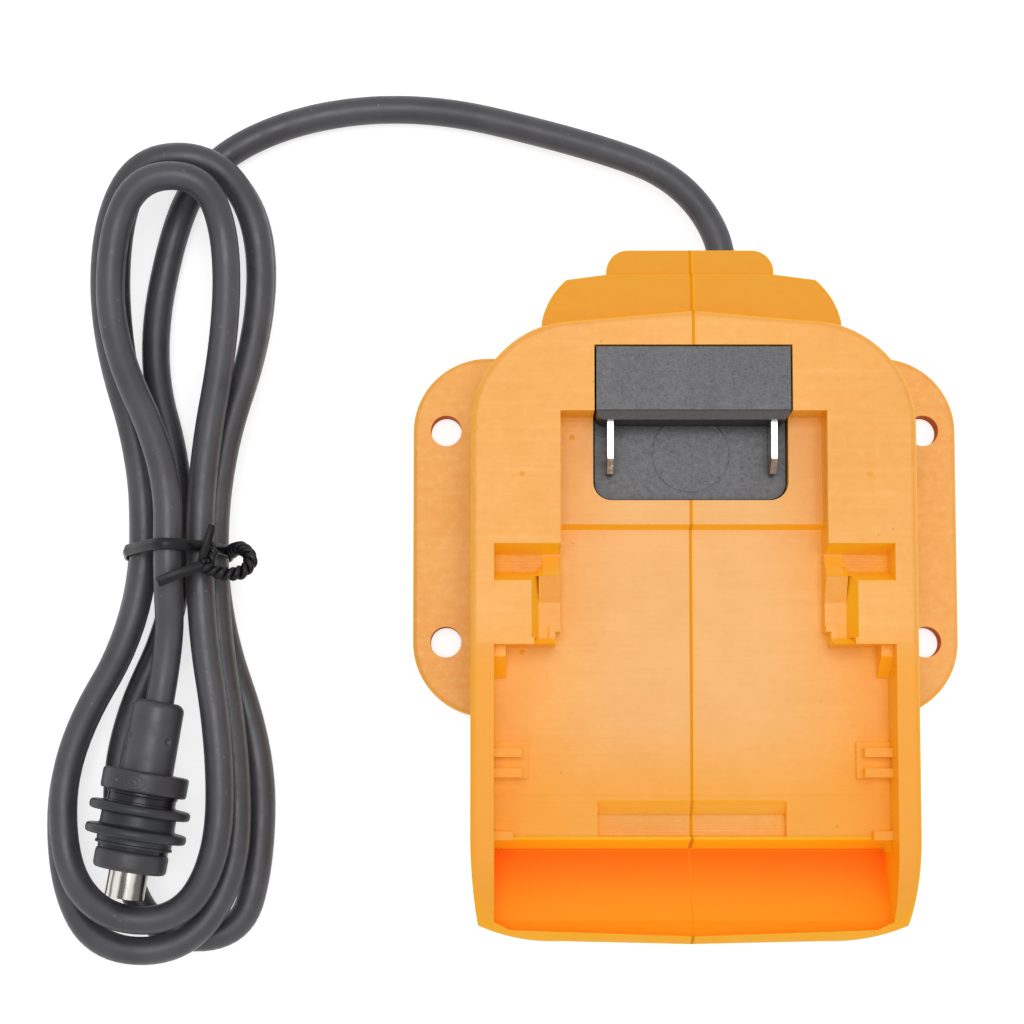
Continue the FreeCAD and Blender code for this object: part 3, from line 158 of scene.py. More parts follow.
# ---------------------------------------------------------------- node graphs
class Graph:
    """A material's node tree, with one Principled shader and short ways to add nodes.

    A share is a socket or a number from 0 to 1. Lengths are in metres, and scales are per metre.
    """

    def __init__(self, name):
        self.material = bpy.data.materials.new(name)
        self.material.use_nodes = True
        self.tree = self.material.node_tree
        self.shader = self.tree.nodes["Principled BSDF"]
        self.place = self.add("ShaderNodeTexCoord").outputs["Object"]
        self.x, self.y, self.z = self.add("ShaderNodeSeparateXYZ", Vector=self.place).outputs
        self.off_joint = self.math("ABSOLUTE", self.x)
        self.height = None

    def add(self, kind, settings=(), **inputs):
        made = self.tree.nodes.new(kind)
        for key, value in dict(settings).items():
            setattr(made, key, value)
        for key, value in inputs.items():
            self.feed(made.inputs[key.replace("_", " ")], value)
        return made

    def feed(self, socket, value):
        if isinstance(value, bpy.types.NodeSocket):
            self.tree.links.new(value, socket)
        else:
            socket.default_value = value

    def set(self, name, value):
        self.feed(self.shader.inputs[name], value)

    def math(self, kind, *values, clamp=False):
        made = self.add("ShaderNodeMath", {"operation": kind, "use_clamp": clamp})
        for socket, value in zip(made.inputs, values):
            self.feed(socket, value)
        return made.outputs[0]

    def times(self, first, *others):
        for other in others:
            first = self.math("MULTIPLY", first, other)
        return first

    def plus(self, first, *others, clamp=False):
        """The sum, held between 0 and 1 where clamp is set."""
        for other in others:
            first = self.math("ADD", first, other, clamp=clamp)
        return first

    def length(self, first, second):
        return self.math("SQRT", self.plus(self.math("POWER", first, 2), self.math("POWER", second, 2)))

    def vector(self, kind, first, second):
        made = self.add("ShaderNodeVectorMath", {"operation": kind})
        self.feed(made.inputs[0], first)
        self.feed(made.inputs[1], second)
        return made.outputs

    def ramp(self, value, low, high, to_low=0.0, to_high=1.0, smooth=True):
        """to_low where the value is low or less, to_high where it is high or more, and a slope between."""
        made = self.add("ShaderNodeMapRange", {"interpolation_type": "SMOOTHSTEP" if smooth else "LINEAR"})
        for key, setting in (("Value", value), ("From Min", low), ("From Max", high),
                             ("To Min", to_low), ("To Max", to_high)):
            self.feed(made.inputs[key], setting)
        return made.outputs["Result"]

    def band(self, value, low, full, still_full, high):
        """A share that rises from low to full and falls from still_full to high."""
        return self.times(self.ramp(value, low, full), self.ramp(value, still_full, high, 1, 0))

    def pick(self, share, outside, inside):
        """One number where the share is 0 and another where it is 1."""
        return self.ramp(share, 0, 1, outside, inside)

    def mix(self, share, first, second):
        made = self.add("ShaderNodeMix", {"data_type": "RGBA"})
        for index, value in ((0, share), (6, first), (7, second)):
            if isinstance(value, tuple) and len(value) == 3:
                value = (*value, 1)
            self.feed(made.inputs[index], value)
        return made.outputs[2]

    def layers(self, colour, *rows):
        """The colour with each row's tone laid over it, as far as the row's share says."""
        for share, tone in rows:
            colour = self.mix(share, colour, tone)
        return colour

    def noise(self, scale, detail=2.0, rough=0.5, stretch=None, shift=0.0):
        where = self.place
        if stretch or shift:
            where = self.add("ShaderNodeMapping", Vector=where, Scale=stretch or (1, 1, 1),
                             Location=(shift, shift * 0.7, shift * 1.3)).outputs[0]
        made = self.add("ShaderNodeTexNoise", Vector=where, Scale=scale, Detail=detail, Roughness=rough)
        return made.outputs["Fac"]

    def dots(self, scale, core, rim, patch_scale, patch_low, patch_high, shift):
        """Small round spots, which only show in the patches of a broader noise."""
        away = self.add("ShaderNodeTexVoronoi", Vector=self.place, Scale=scale).outputs["Distance"]
        patches = self.ramp(self.noise(patch_scale, 2, shift=shift), patch_low, patch_high)
        return self.times(self.ramp(away, core, rim, 1, 0), patches)

    def cut_lines(self, scale, wander, detail, detail_scale):
        """Lines along x, as a cutter leaves them."""
        made = self.add("ShaderNodeTexWave", {"wave_type": "BANDS", "bands_direction": "Y"}, Vector=self.place,
                        Scale=scale, Distortion=wander, Detail=detail, Detail_Scale=detail_scale)
        return made.outputs["Fac"]

    def facing_up(self):
        """The z of the surface's direction: 1 on flat tops and 0 on upright walls."""
        normal = self.add("ShaderNodeNewGeometry").outputs["Normal"]
        return self.add("ShaderNodeSeparateXYZ", Vector=normal).outputs["Z"]

    def open_sky(self, reach):
        """1 on open faces, and less where walls within reach close a hollow in."""
        return self.add("ShaderNodeAmbientOcclusion", {"samples": 8}, Distance=reach).outputs["AO"]

    def within(self, box):
        """1 inside a box, else 0: limits of the distance from x = 0, of y and of z, or None for no limit."""
        share = 1.0
        for value, limits in zip((self.off_joint, self.y, self.z), box):
            if limits:
                share = self.times(share, self.math("GREATER_THAN", value, limits[0]),
                                   self.math("LESS_THAN", value, limits[1]))
        return share

    def raise_by(self, share, microns):
        """Adds a relief of this height where the share is 1."""
        part = self.times(share, microns * MICRON)
        self.height = part if self.height is None else self.plus(self.height, part)

    def done(self):
        if self.height is not None:
            bump = self.add("ShaderNodeBump", Height=self.height, Distance=1.0, Strength=1.0)
            self.set("Normal", bump.outputs["Normal"])
        return self.material


# ---------------------------------------------------------------- shells
SHELL_DEEP = (0.72, 0.305, 0.065)
SHELL_LIGHT = (0.76, 0.345, 0.080)
SHELL_PALE = (0.78, 0.415, 0.125)
SHELL_PINK = (0.80, 0.345, 0.125)
SHELL_FLOW = (0.72, 0.275, 0.050)
# Painted light on steep faces: brighter and richer than on the tops
SHELL_STEEP_PAINTED_LIGHT = (0.98, 0.430, 0.000)
# Painted shade in the scoop: this deepest colour lies just below the floor's front edge
SHELL_SCOOP_PAINTED_SHADE = (0.95, 0.120, 0.000)
# The lighter end of the scoop's painted shade, towards the lip
SHELL_TOE = (0.95, 0.230, 0.000)
# Painted light in hollows: a brighter, yellower orange that lifts their shade
SHELL_HOLLOW_PAINTED_LIGHT = (0.98, 0.490, 0.030)
# Painted bounce light on the inner walls, which face other orange
SHELL_WALL_PAINTED_BOUNCE = (0.98, 0.66, 0.010)
# Painted shade: a deeper, richer orange where less sheen falls
SHELL_RICH_PAINTED_SHADE = (0.78, 0.305, 0.030)
# Painted shade: a darker orange for the hood, which catches less sheen
SHELL_HOOD_PAINTED_SHADE = (0.70, 0.275, 0.005)
# Painted sheen: a paler, greyer orange laid over the middle of the bay
SHELL_PAINTED_SHEEN = (0.70, 0.380, 0.170)
# Painted shade on the walls of the screw holes
SHELL_HOLE_PAINTED_SHADE = (0.62, 0.130, 0.015)
# Painted highlight along the right shell's edge beside the joint
SHELL_LIP_PAINTED_HIGHLIGHT = (0.88, 0.340, 0.000)
SHELL_JOINT = (0.66, 0.230, 0.000)
SHELL_GRIME = (0.42, 0.14, 0.01)
SHELL_GLINT = (1.0, 0.82, 0.45, 1)
SHELL_ROUGH = (0.30, 0.44)
# Boxes for Graph.within
BAY_FLOOR = ((-1, 0.0358), (-0.0568, 0.0202), (0.0138, 0.0166))
SCOOP = ((-1, 0.0362), (-0.0741, -0.0583), (0, 0.0144))
SCOOP_TOE = ((-1, 0.0362), (-0.0741, -0.0712), (0.0139, 0.0144))
FRONT_WALL = ((-1, 0.0362), (-0.0590, -0.0562), (0.0080, 0.0150))
GUIDE_WALLS = ((0.0242, 0.0362), (-0.0215, 0.0005), (0.0145, 1))
SIDE_RAILS = ((0.0280, 1), (-1, -0.0150), (0.0152, 1))
WALL_TOPS = ((0.0356, 1), (-1, -0.0215), (0.012, 1))
HOOD = (None, (0.033, 1), (0.008, 0.0215))
LATCH_FLOOR = ((-1, 0.0172), (-0.0564, -0.0502), (0.0115, 0.0126))
GUIDE_FLOORS = ((0.0272, 0.036), (-0.0083, -0.0050), (0.0165, 0.0173))
# Single limits and places
FLANGE_TOP = 0.0065
BAY_FRONT = -0.0570
# Span of y over which the scoop's painted shade deepens from the lip towards the floor's edge
SCOOP_SHADE_SPAN = (-0.070, -0.059)
FLOOR_STEP = (-0.0489, -0.0485)
HOLE_PLACE = (0.045, 0.020)
HOLE_RADIUS = 0.00292
JOINT_FADE = (0.00018, 0.00036)
LIP_HIGHLIGHT_FADES = (0.00005, 0.00018, 0.00045, 0.00070)


class Shell(Graph):
    """Finely textured orange moulding: flow marks, scuffs, tool marks and a joint line on x = 0, with painted
    light and shade laid over them: a painted sheen, painted shade and painted light by region and by facing, and
    a painted highlight beside the joint.
    """

    def __init__(self):
        super().__init__("shell")
        self.bay = self.within(BAY_FLOOR)
        self.scoop = self.within(SCOOP)
        self.hood = self.within(HOOD)
        self.flange = self.math("LESS_THAN", self.z, FLANGE_TOP)
        self.up = self.facing_up()
        self.cloud = self.noise(75, 4, 0.65, shift=0.3)
        self.mottle = self.noise(620, 3, 0.65, shift=0.8)
        self.scuff = self.ramp(self.noise(1, 4, 0.7, stretch=(110, 1900, 1900), shift=0.5), 0.55, 0.75)
        from_hole = self.length(self.math("SUBTRACT", self.off_joint, HOLE_PLACE[0]),
                                self.math("SUBTRACT", self.math("ABSOLUTE", self.y), HOLE_PLACE[1]))
        self.hole = self.math("LESS_THAN", from_hole, HOLE_RADIUS)
        self.joint = self.times(self.ramp(self.off_joint, *JOINT_FADE, 0.95, 0), self.pick(self.scoop, 1, 0.5))

    def moulded(self):
        """The orange of every face: broad clouds, flow marks along x and fine mottling."""
        broad = self.noise(28, 3)
        streaks = self.noise(1, 3, 0.6, stretch=(34, 900, 900))
        return self.layers(
            self.mix(self.ramp(broad, 0.3, 0.7), SHELL_DEEP, SHELL_LIGHT),
            (self.ramp(streaks, 0.48, 0.8, 0, 0.45), SHELL_PALE),
            (self.ramp(streaks, 0.22, 0.45, 0.30, 0), SHELL_FLOW),
            (self.ramp(self.cloud, 0.5, 0.75, 0, 0.35), SHELL_PINK),
            (self.ramp(self.mottle, 0.3, 0.5, 0.28, 0), SHELL_FLOW),
            (self.ramp(self.mottle, 0.5, 0.7, 0, 0.25), SHELL_PALE))

    def by_region(self, colour):
        """Painted shade that deepens the scoop towards the floor's front edge, deeper painted shade at the rails,
        the front and the edges of the bay, a painted sheen in the bay's middle, painted shade on the hood, and
        mottled on the flange.
        """
        # Where the deeper painted shade goes: the rails, the front and the edges of the bay
        rails = self.times(self.within(SIDE_RAILS), self.ramp(self.y, -0.0280, -0.0160, 1, 0))
        edge = self.plus(self.ramp(self.y, -0.052, -0.032, 0.85, 0),
                         self.ramp(self.off_joint, 0.020, 0.033, 0, 0.5), clamp=True)
        rich = self.plus(rails, self.math("LESS_THAN", self.y, BAY_FRONT), self.times(self.bay, edge), clamp=True)
        # Share of the painted sheen, strongest in the middle of the bay
        middle = self.times(self.ramp(self.off_joint, 0.010, 0.030, 0.50, 0), self.ramp(self.y, -0.050, -0.030))
        return self.layers(
            colour,
            # painted shade: the scoop deepens towards the floor's front edge
            (self.scoop, self.mix(self.ramp(self.y, *SCOOP_SHADE_SPAN), SHELL_TOE, SHELL_SCOOP_PAINTED_SHADE)),
            (self.times(rich, self.pick(self.scoop, 0.85, 0)), SHELL_RICH_PAINTED_SHADE),
            # painted sheen in the bay's middle
            (self.times(self.bay, middle), SHELL_PAINTED_SHEEN),
            (self.times(self.flange, self.ramp(self.mottle, 0.47, 0.62, 0, 0.30)), SHELL_PALE),
            (self.times(self.flange, self.ramp(self.cloud, 0.30, 0.48, 0.25, 0)), SHELL_FLOW),
            # painted shade on the hood
            (self.times(self.hood, 0.75), SHELL_HOOD_PAINTED_SHADE))

    def by_shape(self, colour):
        """Painted light: brighter, richer orange on steep faces, painted light in hollows, and painted bounce
        light on the inner walls, which face other orange.
        """
        # Share of the painted light by facing, most on upright faces
        steep = self.ramp(self.math("ABSOLUTE", self.up), 0.55, 0.99, 0.9, 0)
        # Share of the painted light in hollows, from the occlusion node, left off in the scoop
        hollow = self.times(self.ramp(self.open_sky(0.0045), 0.25, 0.75, 0.55, 0), self.pick(self.scoop, 1, 0))
        # Inner walls that get the painted bounce light
        inner_wall = self.plus(self.within(FRONT_WALL), self.times(self.within(GUIDE_WALLS), 0.4), clamp=True)
        return self.layers(
            colour,
            (steep, SHELL_STEEP_PAINTED_LIGHT),
            (hollow, SHELL_HOLLOW_PAINTED_LIGHT),
            (self.times(inner_wall, steep, 0.75), SHELL_WALL_PAINTED_BOUNCE))

    def with_marks(self, colour):
        """Painted shade in the screw holes, the dark joint with a painted highlight on the lip of the right shell
        beside it, and grime.
        """
        # Share of the painted highlight on the right shell's edge, weaker in the scoop
        lip = self.times(self.band(self.x, *LIP_HIGHLIGHT_FADES), self.pick(self.scoop, 0.75, 0))
        grime = self.dots(240.0, 0.035, 0.07, patch_scale=90, patch_low=0.5, patch_high=0.6, shift=0.9)
        return self.layers(
            colour,
            # painted shade in the screw holes
            (self.times(self.hole, 0.9), SHELL_HOLE_PAINTED_SHADE),
            (lip, SHELL_LIP_PAINTED_HIGHLIGHT),
            (self.joint, SHELL_JOINT),
            (self.times(grime, 0.5), SHELL_GRIME))

    def roughness(self):
        """Duller on scuffs, wall tops, hood and toe, towards the front, and in the joint and the holes."""
        plain = self.ramp(self.noise(140, 3, shift=0.1), 0.2, 0.8, *SHELL_ROUGH, smooth=False)
        dull = self.plus(self.within(SCOOP_TOE), self.times(self.within(WALL_TOPS), 0.5), self.hood, clamp=True)
        dull = self.plus(self.times(dull, 0.3), self.ramp(self.y, -0.056, -0.026, 0.16, 0))
        rough = self.plus(plain, self.times(self.scuff, 0.08), self.times(dull, self.ramp(self.up, 0.2, 0.6)),
                          self.times(self.joint, 0.4))
        return self.plus(rough, self.times(self.hole, 0.4), clamp=True)

    def relief(self):
        """Grain, slight waviness, scuffs, and the cutter's lines on the floors."""
        fine = self.cut_lines(560.0, 1.6, 2.0, 1.5)
        wide = self.cut_lines(400.0, 2.5, 3.0, 0.8)
        patches = self.times(self.bay, self.ramp(self.noise(60, 2, shift=0.15), 0.42, 0.62))
        for share, microns in (
                (self.noise(3200, 2, 0.6), 18),
                (self.noise(260, 2), 30),
                (self.scuff, -8),
                (self.mottle, 20),
                (self.times(self.within(LATCH_FLOOR), fine), 30),
                (self.times(self.within(GUIDE_FLOORS), fine), 80),
                (self.times(self.flange, self.mottle), 20),
                (self.times(self.bay, self.ramp(self.y, *FLOOR_STEP)), 50),
                (self.times(patches, wide), 12)):
            self.raise_by(share, microns)

    def done(self):
        colour = self.by_region(self.moulded())
        self.set("Base Color", self.with_marks(self.by_shape(colour)))
        self.set("Specular Tint", SHELL_GLINT)
        self.set("Roughness", self.roughness())
        self.relief()
        return super().done()


# ---------------------------------------------------------------- contact block
BLOCK_DARK = (0.055, 0.052, 0.058)
BLOCK_LIGHT = (0.071, 0.067, 0.074)
BLOCK_DUST = (0.16, 0.155, 0.16)
BLOCK_PIT = (0.008, 0.008, 0.009)
BLOCK_GRAIN = (0.095, 0.094, 0.099)
BLOCK_LINE = (0.012, 0.012, 0.013)
# Painted shade in the block's hollows, near black
BLOCK_HOLLOW_PAINTED_SHADE = (0.001, 0.001, 0.001)
# Painted shade on the block's upright faces
BLOCK_STEEP_PAINTED_SHADE = (0.003, 0.003, 0.003)
# Painted light on the block's sloped bevel faces
BLOCK_SLOPE_PAINTED_LIGHT = (0.075, 0.072, 0.076)
# Painted shade: a dark line along the crease of the head's bevel
BLOCK_CREASE_PAINTED_SHADE = (0.010, 0.010, 0.010)
BLOCK_ROUGH = (0.33, 0.45)
# Box of the painted crease shade
CREASE = (None, (0.02015, 0.02040), (0.0200, 1))
EJECTOR_Y = 0.0135
EJECTOR_FADES = (0.0067, 0.0070, 0.0070, 0.0074)


def block_plastic():
    """Dark glass-filled nylon: grain, fine rubbed lines and a faint ejector ring on the plate, with painted shade
    in hollows, on upright faces and in a crease, and painted light on sloped faces.
    """
    g = Graph("contact_block")
    up = g.facing_up()
    speckle = g.noise(2300, 3, 0.7, shift=0.6)
    lines = g.noise(1, 3, 0.7, stretch=(260, 4200, 4200), shift=0.35)
    fibre = g.noise(1, 4, 0.7, stretch=(900, 2600, 2600), shift=0.2)
    dust = g.dots(420.0, 0.08, 0.14, patch_scale=160, patch_low=0.55, patch_high=0.65, shift=0.4)
    g.set("Base Color", g.layers(
        g.mix(g.ramp(g.noise(120, 4, 0.65), 0.3, 0.75), BLOCK_DARK, BLOCK_LIGHT),
        (g.ramp(speckle, 0.53, 0.64, 0, 0.75), BLOCK_PIT),
        (g.ramp(speckle, 0.34, 0.45, 0.6, 0), BLOCK_GRAIN),
        (g.ramp(lines, 0.55, 0.72, 0, 0.4), BLOCK_LINE),
        # painted shade in hollows, from the occlusion node
        (g.ramp(g.open_sky(0.004), 0.40, 0.86, 0.9, 0), BLOCK_HOLLOW_PAINTED_SHADE),
        (g.ramp(fibre, 0.5, 0.8, 0, 0.16), BLOCK_DUST),
        (g.times(dust, 0.6), BLOCK_DUST),
        # painted shade on upright faces
        (g.ramp(up, 0.15, 0.45, 0.85, 0), BLOCK_STEEP_PAINTED_SHADE),
        # painted light on sloped faces
        (g.times(g.band(up, 0.45, 0.55, 0.80, 0.90), 0.6), BLOCK_SLOPE_PAINTED_LIGHT),
        # painted shade in the crease
        (g.times(g.within(CREASE), 0.8), BLOCK_CREASE_PAINTED_SHADE)))
    g.set("Roughness", g.ramp(g.noise(900, 4, 0.6, shift=0.7), 0.25, 0.75, *BLOCK_ROUGH))
    g.raise_by(speckle, 30)
    g.raise_by(g.ramp(fibre, 0.5, 0.7), 6)
    ring = g.band(g.length(g.x, g.math("SUBTRACT", g.y, EJECTOR_Y)), *EJECTOR_FADES)
    g.raise_by(g.times(ring, g.ramp(g.z, 0.0150, 0.0155, 1, 0)), 40)
    return g.done()


# ---------------------------------------------------------------- metals
NICKEL = (0.80, 0.77, 0.73)
NICKEL_STAIN = (0.36, 0.27, 0.19)
NICKEL_WORN = (0.20, 0.12, 0.07)
NICKEL_TIP = (0.0118, 0.0128)
STEEL_DARK = (0.42, 0.42, 0.43)
STEEL_LIGHT = (0.62, 0.62, 0.63)
BARREL_STAIN = (0.30, 0.24, 0.18)
BARREL_HALF = 0.0036
# Painted reflections in bands across the barrel: share of its width, brightness
BARREL_REFLECTION_BANDS = [(0.0, 0.62), (0.15, 0.66), (0.21, 0.12), (0.27, 0.80), (0.38, 0.82), (0.44, 0.13), (0.55, 0.10),
                (0.62, 0.78), (0.72, 0.70), (0.79, 0.16), (0.90, 0.12), (1.0, 0.5)]


def blade_metal():
    """Bright plate with drawn lines, and copper showing through where a contact slides."""
    g = Graph("contact_metal")
    drawn = g.noise(1, 3, 0.6, stretch=(5200, 300, 5200))
    stain = g.noise(700, 3, 0.6, shift=0.2)
    worn = g.times(g.ramp(g.y, *NICKEL_TIP, 1, 0), g.ramp(stain, 0.3, 0.5, 0.5, 1), 0.85)
    g.set("Base Color", g.layers(
        g.mix(g.ramp(drawn, 0.3, 0.7), tuple(level * 0.86 for level in NICKEL), NICKEL),
        (g.ramp(stain, 0.55, 0.72, 0, 0.35), NICKEL_STAIN),
        (worn, NICKEL_WORN)))
    g.set("Metallic", 1.0)
    g.set("Roughness", g.ramp(drawn, 0.25, 0.75, 0.14, 0.34))
    g.raise_by(drawn, 8)
    return g.done()


def screw_metal():
    """Steel with turned lines."""
    g = Graph("screw_steel")
    lines = g.noise(1, 3, 0.6, stretch=(300, 2600, 2600))
    g.set("Base Color", g.mix(g.ramp(lines, 0.3, 0.7), STEEL_DARK, STEEL_LIGHT))
    g.set("Metallic", 1.0)
    g.set("Roughness", g.ramp(lines, 0.25, 0.75, 0.24, 0.4))
    g.raise_by(lines, 10)
    return g.done()


def barrel_metal():
    """Turned nickel with painted reflections that run along the barrel in bands."""
    g = Graph("barrel_nickel")
    from_axis = g.vector("SUBTRACT", g.place, mm(*PLUG_TOP))[0]
    across = g.vector("DOT_PRODUCT", from_axis, -PLUG_SIDE)["Value"]
    share = g.ramp(across, -BARREL_HALF, BARREL_HALF, smooth=False)
    waver = g.times(g.math("SUBTRACT", g.noise(420, 2), 0.5), 0.06)
    # Painted reflections: bright and dark bands by place across the barrel's width
    bands = g.add("ShaderNodeValToRGB", Fac=g.plus(share, waver))
    stops = bands.color_ramp.elements
    while len(stops) < len(BARREL_REFLECTION_BANDS):
        stops.new(0.5)
    for stop, (place, level) in zip(stops, BARREL_REFLECTION_BANDS):
        stop.position = place
        stop.color = (level, level * 0.95, level * 0.88, 1)
    drawn = g.noise(1, 3, 0.6, stretch=(5200, 400, 5200))
    g.set("Base Color", g.mix(g.ramp(drawn, 0.55, 0.8, 0, 0.3), bands.outputs["Color"], BARREL_STAIN))
    g.set("Metallic", 1.0)
    g.set("Roughness", g.ramp(drawn, 0.25, 0.75, 0.14, 0.28))
    g.raise_by(drawn, 4)
    return g.done()


# ---------------------------------------------------------------- dark plastics and rubbers
PLASTIC_DUST = (0.2, 0.2, 0.21)


def dark_plastic(name, dark, light, rough, grain=2600, grain_height=14, dust=0.0, gloss=0.5):
    """A plain moulded or extruded dark plastic with grain, uneven gloss and a little dust."""
    g = Graph(name)
    g.set("Specular IOR Level", gloss)
    colour = g.mix(g.ramp(g.noise(90, 3, 0.6), 0.3, 0.7), dark, light)
    if dust:
        spots = g.dots(520.0, 0.09, 0.16, patch_scale=140, patch_low=0.5, patch_high=0.62, shift=0.4)
        colour = g.mix(g.times(spots, dust), colour, PLASTIC_DUST)
    g.set("Base Color", colour)
    g.set("Roughness", g.ramp(g.noise(320, 3, 0.6, shift=0.6), 0.25, 0.75, *rough))
    g.raise_by(g.noise(grain, 2, 0.6), grain_height)
    g.raise_by(g.noise(300, 2), 20)
    return g.done()


FINISHES = {"shell": Shell().done(), "contact_block": block_plastic(), "contact_metal": blade_metal(),
            "screw_steel": screw_metal(), "barrel_nickel": barrel_metal()}
# name, dark tone, light tone, least and most roughness, and what differs from the usual
for name, dark, light, rough, others in (
        ("red_core", (0.5, 0.02, 0.015), (0.62, 0.035, 0.02), (0.3, 0.42), {}),
        ("black_core", (0.012, 0.012, 0.012), (0.022, 0.022, 0.022), (0.3, 0.42), {}),
        ("grommet_rubber", (0.018, 0.018, 0.019), (0.03, 0.03, 0.031), (0.55, 0.75), {}),
        ("clamp_plastic", (0.02, 0.02, 0.02), (0.035, 0.035, 0.035), (0.4, 0.55), {}),
        ("insulator_plastic", (0.02, 0.02, 0.02), (0.035, 0.035, 0.035), (0.4, 0.55), {}),
        ("cord_jacket", (0.034, 0.033, 0.039), (0.052, 0.051, 0.059), (0.34, 0.48),
         {"grain": 2400, "grain_height": 20, "dust": 0.25}),
        ("tie_plastic", (0.002, 0.002, 0.003), (0.006, 0.006, 0.008), (0.30, 0.48), {"gloss": 0.28}),
        ("plug_body", (0.032, 0.032, 0.037), (0.048, 0.048, 0.055), (0.36, 0.52), {"grain": 2200, "dust": 0.5}),
        ("plug_seal", (0.019, 0.020, 0.024), (0.030, 0.031, 0.036), (0.34, 0.50),
         {"grain": 1800, "dust": 0.3, "gloss": 0.35}),
        ("neck_rubber", (0.006, 0.006, 0.010), (0.012, 0.012, 0.018), (0.16, 0.30), {"dust": 0.3, "gloss": 0.3}),
        ("nose_rubber", (0.029, 0.029, 0.034), (0.042, 0.042, 0.048), (0.34, 0.50), {"dust": 0.4, "gloss": 0.4}),
        ("collar_rubber", (0.025, 0.025, 0.030), (0.038, 0.038, 0.044), (0.34, 0.50),
         {"dust": 0.4, "gloss": 0.4})):
    FINISHES[name] = dark_plastic(name, dark, light, rough, **others)


def finish(piece, slot, material=None):
    """Gives a new piece the material of this slot, or the one named, and its body."""
    piece.data.materials.clear()
    piece.data.materials.append(FINISHES[material or slot])
    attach(piece, "root")


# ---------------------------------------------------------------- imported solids
BEVELS = {"left_housing": 0.18, "right_housing": 0.18, "terminal_block": 0.25, "positive_blade": 0.12,
          "negative_blade": 0.12, "cord_grommet": 0.3}
FLAT_ANGLE = math.radians(0.6)
EDGE_ANGLE = math.radians(38)
for row in frame["record"]["subparts"]:
    solid = frame["nodes"][row["node"]]
    solid.data.materials.clear()
    solid.data.materials.append(FINISHES[row["material_slot"]])
    if row["node"] in BEVELS:
        merge = solid.modifiers.new("merge", "DECIMATE")
        merge.decimate_type = "DISSOLVE"
        merge.angle_limit = FLAT_ANGLE
        soften = solid.modifiers.new("soften", "BEVEL")
        soften.width = BEVELS[row["node"]] * MM
        soften.segments = 2
        soften.limit_method = "ANGLE"
        soften.angle_limit = EDGE_ANGLE
        soften.use_clamp_overlap = False
        soften.harden_normals = True
lead.data.materials.append(FINISHES["cord_jacket"])


# ---------------------------------------------------------------- skins
def skin(build, rings, closed=False):
    """Faces from each ring of corners to the next, where a ring may be a single corner."""
    pairs = list(zip(rings, rings[1:]))
    if closed:
        pairs.append((rings[-1], rings[0]))
    around = max(len(ring) for ring in rings)
    for low, high in pairs:
        for number in range(around):
            after = number + 1
            corners = []
            for ring, index in ((low, number), (low, after), (high, after), (high, number)):
                corner = ring[index % len(ring)]
                if corner not in corners:
                    corners.append(corner)
            if len(corners) > 2:
                build.faces.new(corners)


def smooth_piece(name, build):
    """An object from a built mesh, with smooth shading."""
    for face in build.faces:
        face.smooth = True
    mesh = bpy.data.meshes.new(name)
    build.to_mesh(mesh)
    build.free()
    return add_object(name, mesh)


# ---------------------------------------------------------------- turned pieces of the plug
AROUND = 128
RELIEF_AROUND = 220
RELIEF_STEP = 0.16
CORNER_STEPS = 3
# Profiles: (distance along the plug's axis, radius) places in millimetres
SLEEVE = [(0, 0), (0, 3.7), (0.9, 4.65), (13.2, 4.75), (13.2, 4)]
COLLAR = [(12.9, 4.0), (13.0, 7.75), (16.8, 7.75), (16.8, 4)]
NECK = [(16.7, 3.8), (16.7, 6.35), (17.35, 6.35), (17.35, 6.15), (18.6, 6.15), (18.6, 6.35),
        (27.3, 6.35), (27.3, 3.6)]
NOSE = [(27.2, 3.7), (27.2, 6.6), (31.0, 6.6), (31.0, 3.6), (30.6, 3.56)]
REAR_FIN = [(18.9, 6.3), (19.0, 9.1), (20.7, 9.1), (20.8, 6.3)]
FRONT_FIN = [(20.7, 6.3), (20.75, 6.75), (23.2, 6.75), (23.3, 9.1), (25.0, 9.1), (25.1, 6.75),
             (26.1, 6.75), (26.15, 6.95), (26.6, 6.95), (26.6, 6.3)]
BARREL = [(26.0, 3.55), (35.9, 3.55), (36.0, 3.2), (35.8, 2.9), (28.0, 2.85)]
# Sink holes of the boot: (distance along the axis, angle) places
SINKS = [(6.9, 0.68), (7.0, 2.37)]
SINK_RADIUS = 0.62
SINK_DEPTH = 0.5
SLEEVE_RADIUS = 4.6
COLLAR_SPAN = (13.0, 16.8)
COLLAR_RADIUS = 7.75
# The collar's mark, an oval of rings round a dot: ring sizes and widths are shares of the oval
MARK_ALONG = 14.9
MARK_TURN = 1.475
MARK_HALF_LENGTH = 1.25
MARK_HALF_WIDTH = 2.0
MARK_RINGS = ((1.0, 0.11), (0.6, 0.10))
MARK_RING_HEIGHT = 0.12
MARK_DOT_SHARE = 0.16
MARK_DOT_HEIGHT = 0.16


def boot_relief(along, turn):
    """Two small sink holes in the boot and a plain set of rings on the collar."""
    lift = 0.0
    for sink_along, sink_turn in SINKS:
        apart = math.hypot(along - sink_along, (turn - sink_turn) * SLEEVE_RADIUS)
        if apart < SINK_RADIUS:
            lift -= SINK_DEPTH * (1 - (apart / SINK_RADIUS) ** 2)
    if COLLAR_SPAN[0] < along < COLLAR_SPAN[1]:
        apart = math.hypot((along - MARK_ALONG) / MARK_HALF_LENGTH,
                           (turn - MARK_TURN) * COLLAR_RADIUS / MARK_HALF_WIDTH)
        for ring, wide in MARK_RINGS:
            lift += MARK_RING_HEIGHT * max(0.0, 1 - abs(apart - ring) / wide)
        lift += MARK_DOT_HEIGHT * max(0.0, 1 - apart / MARK_DOT_SHARE)
    return lift


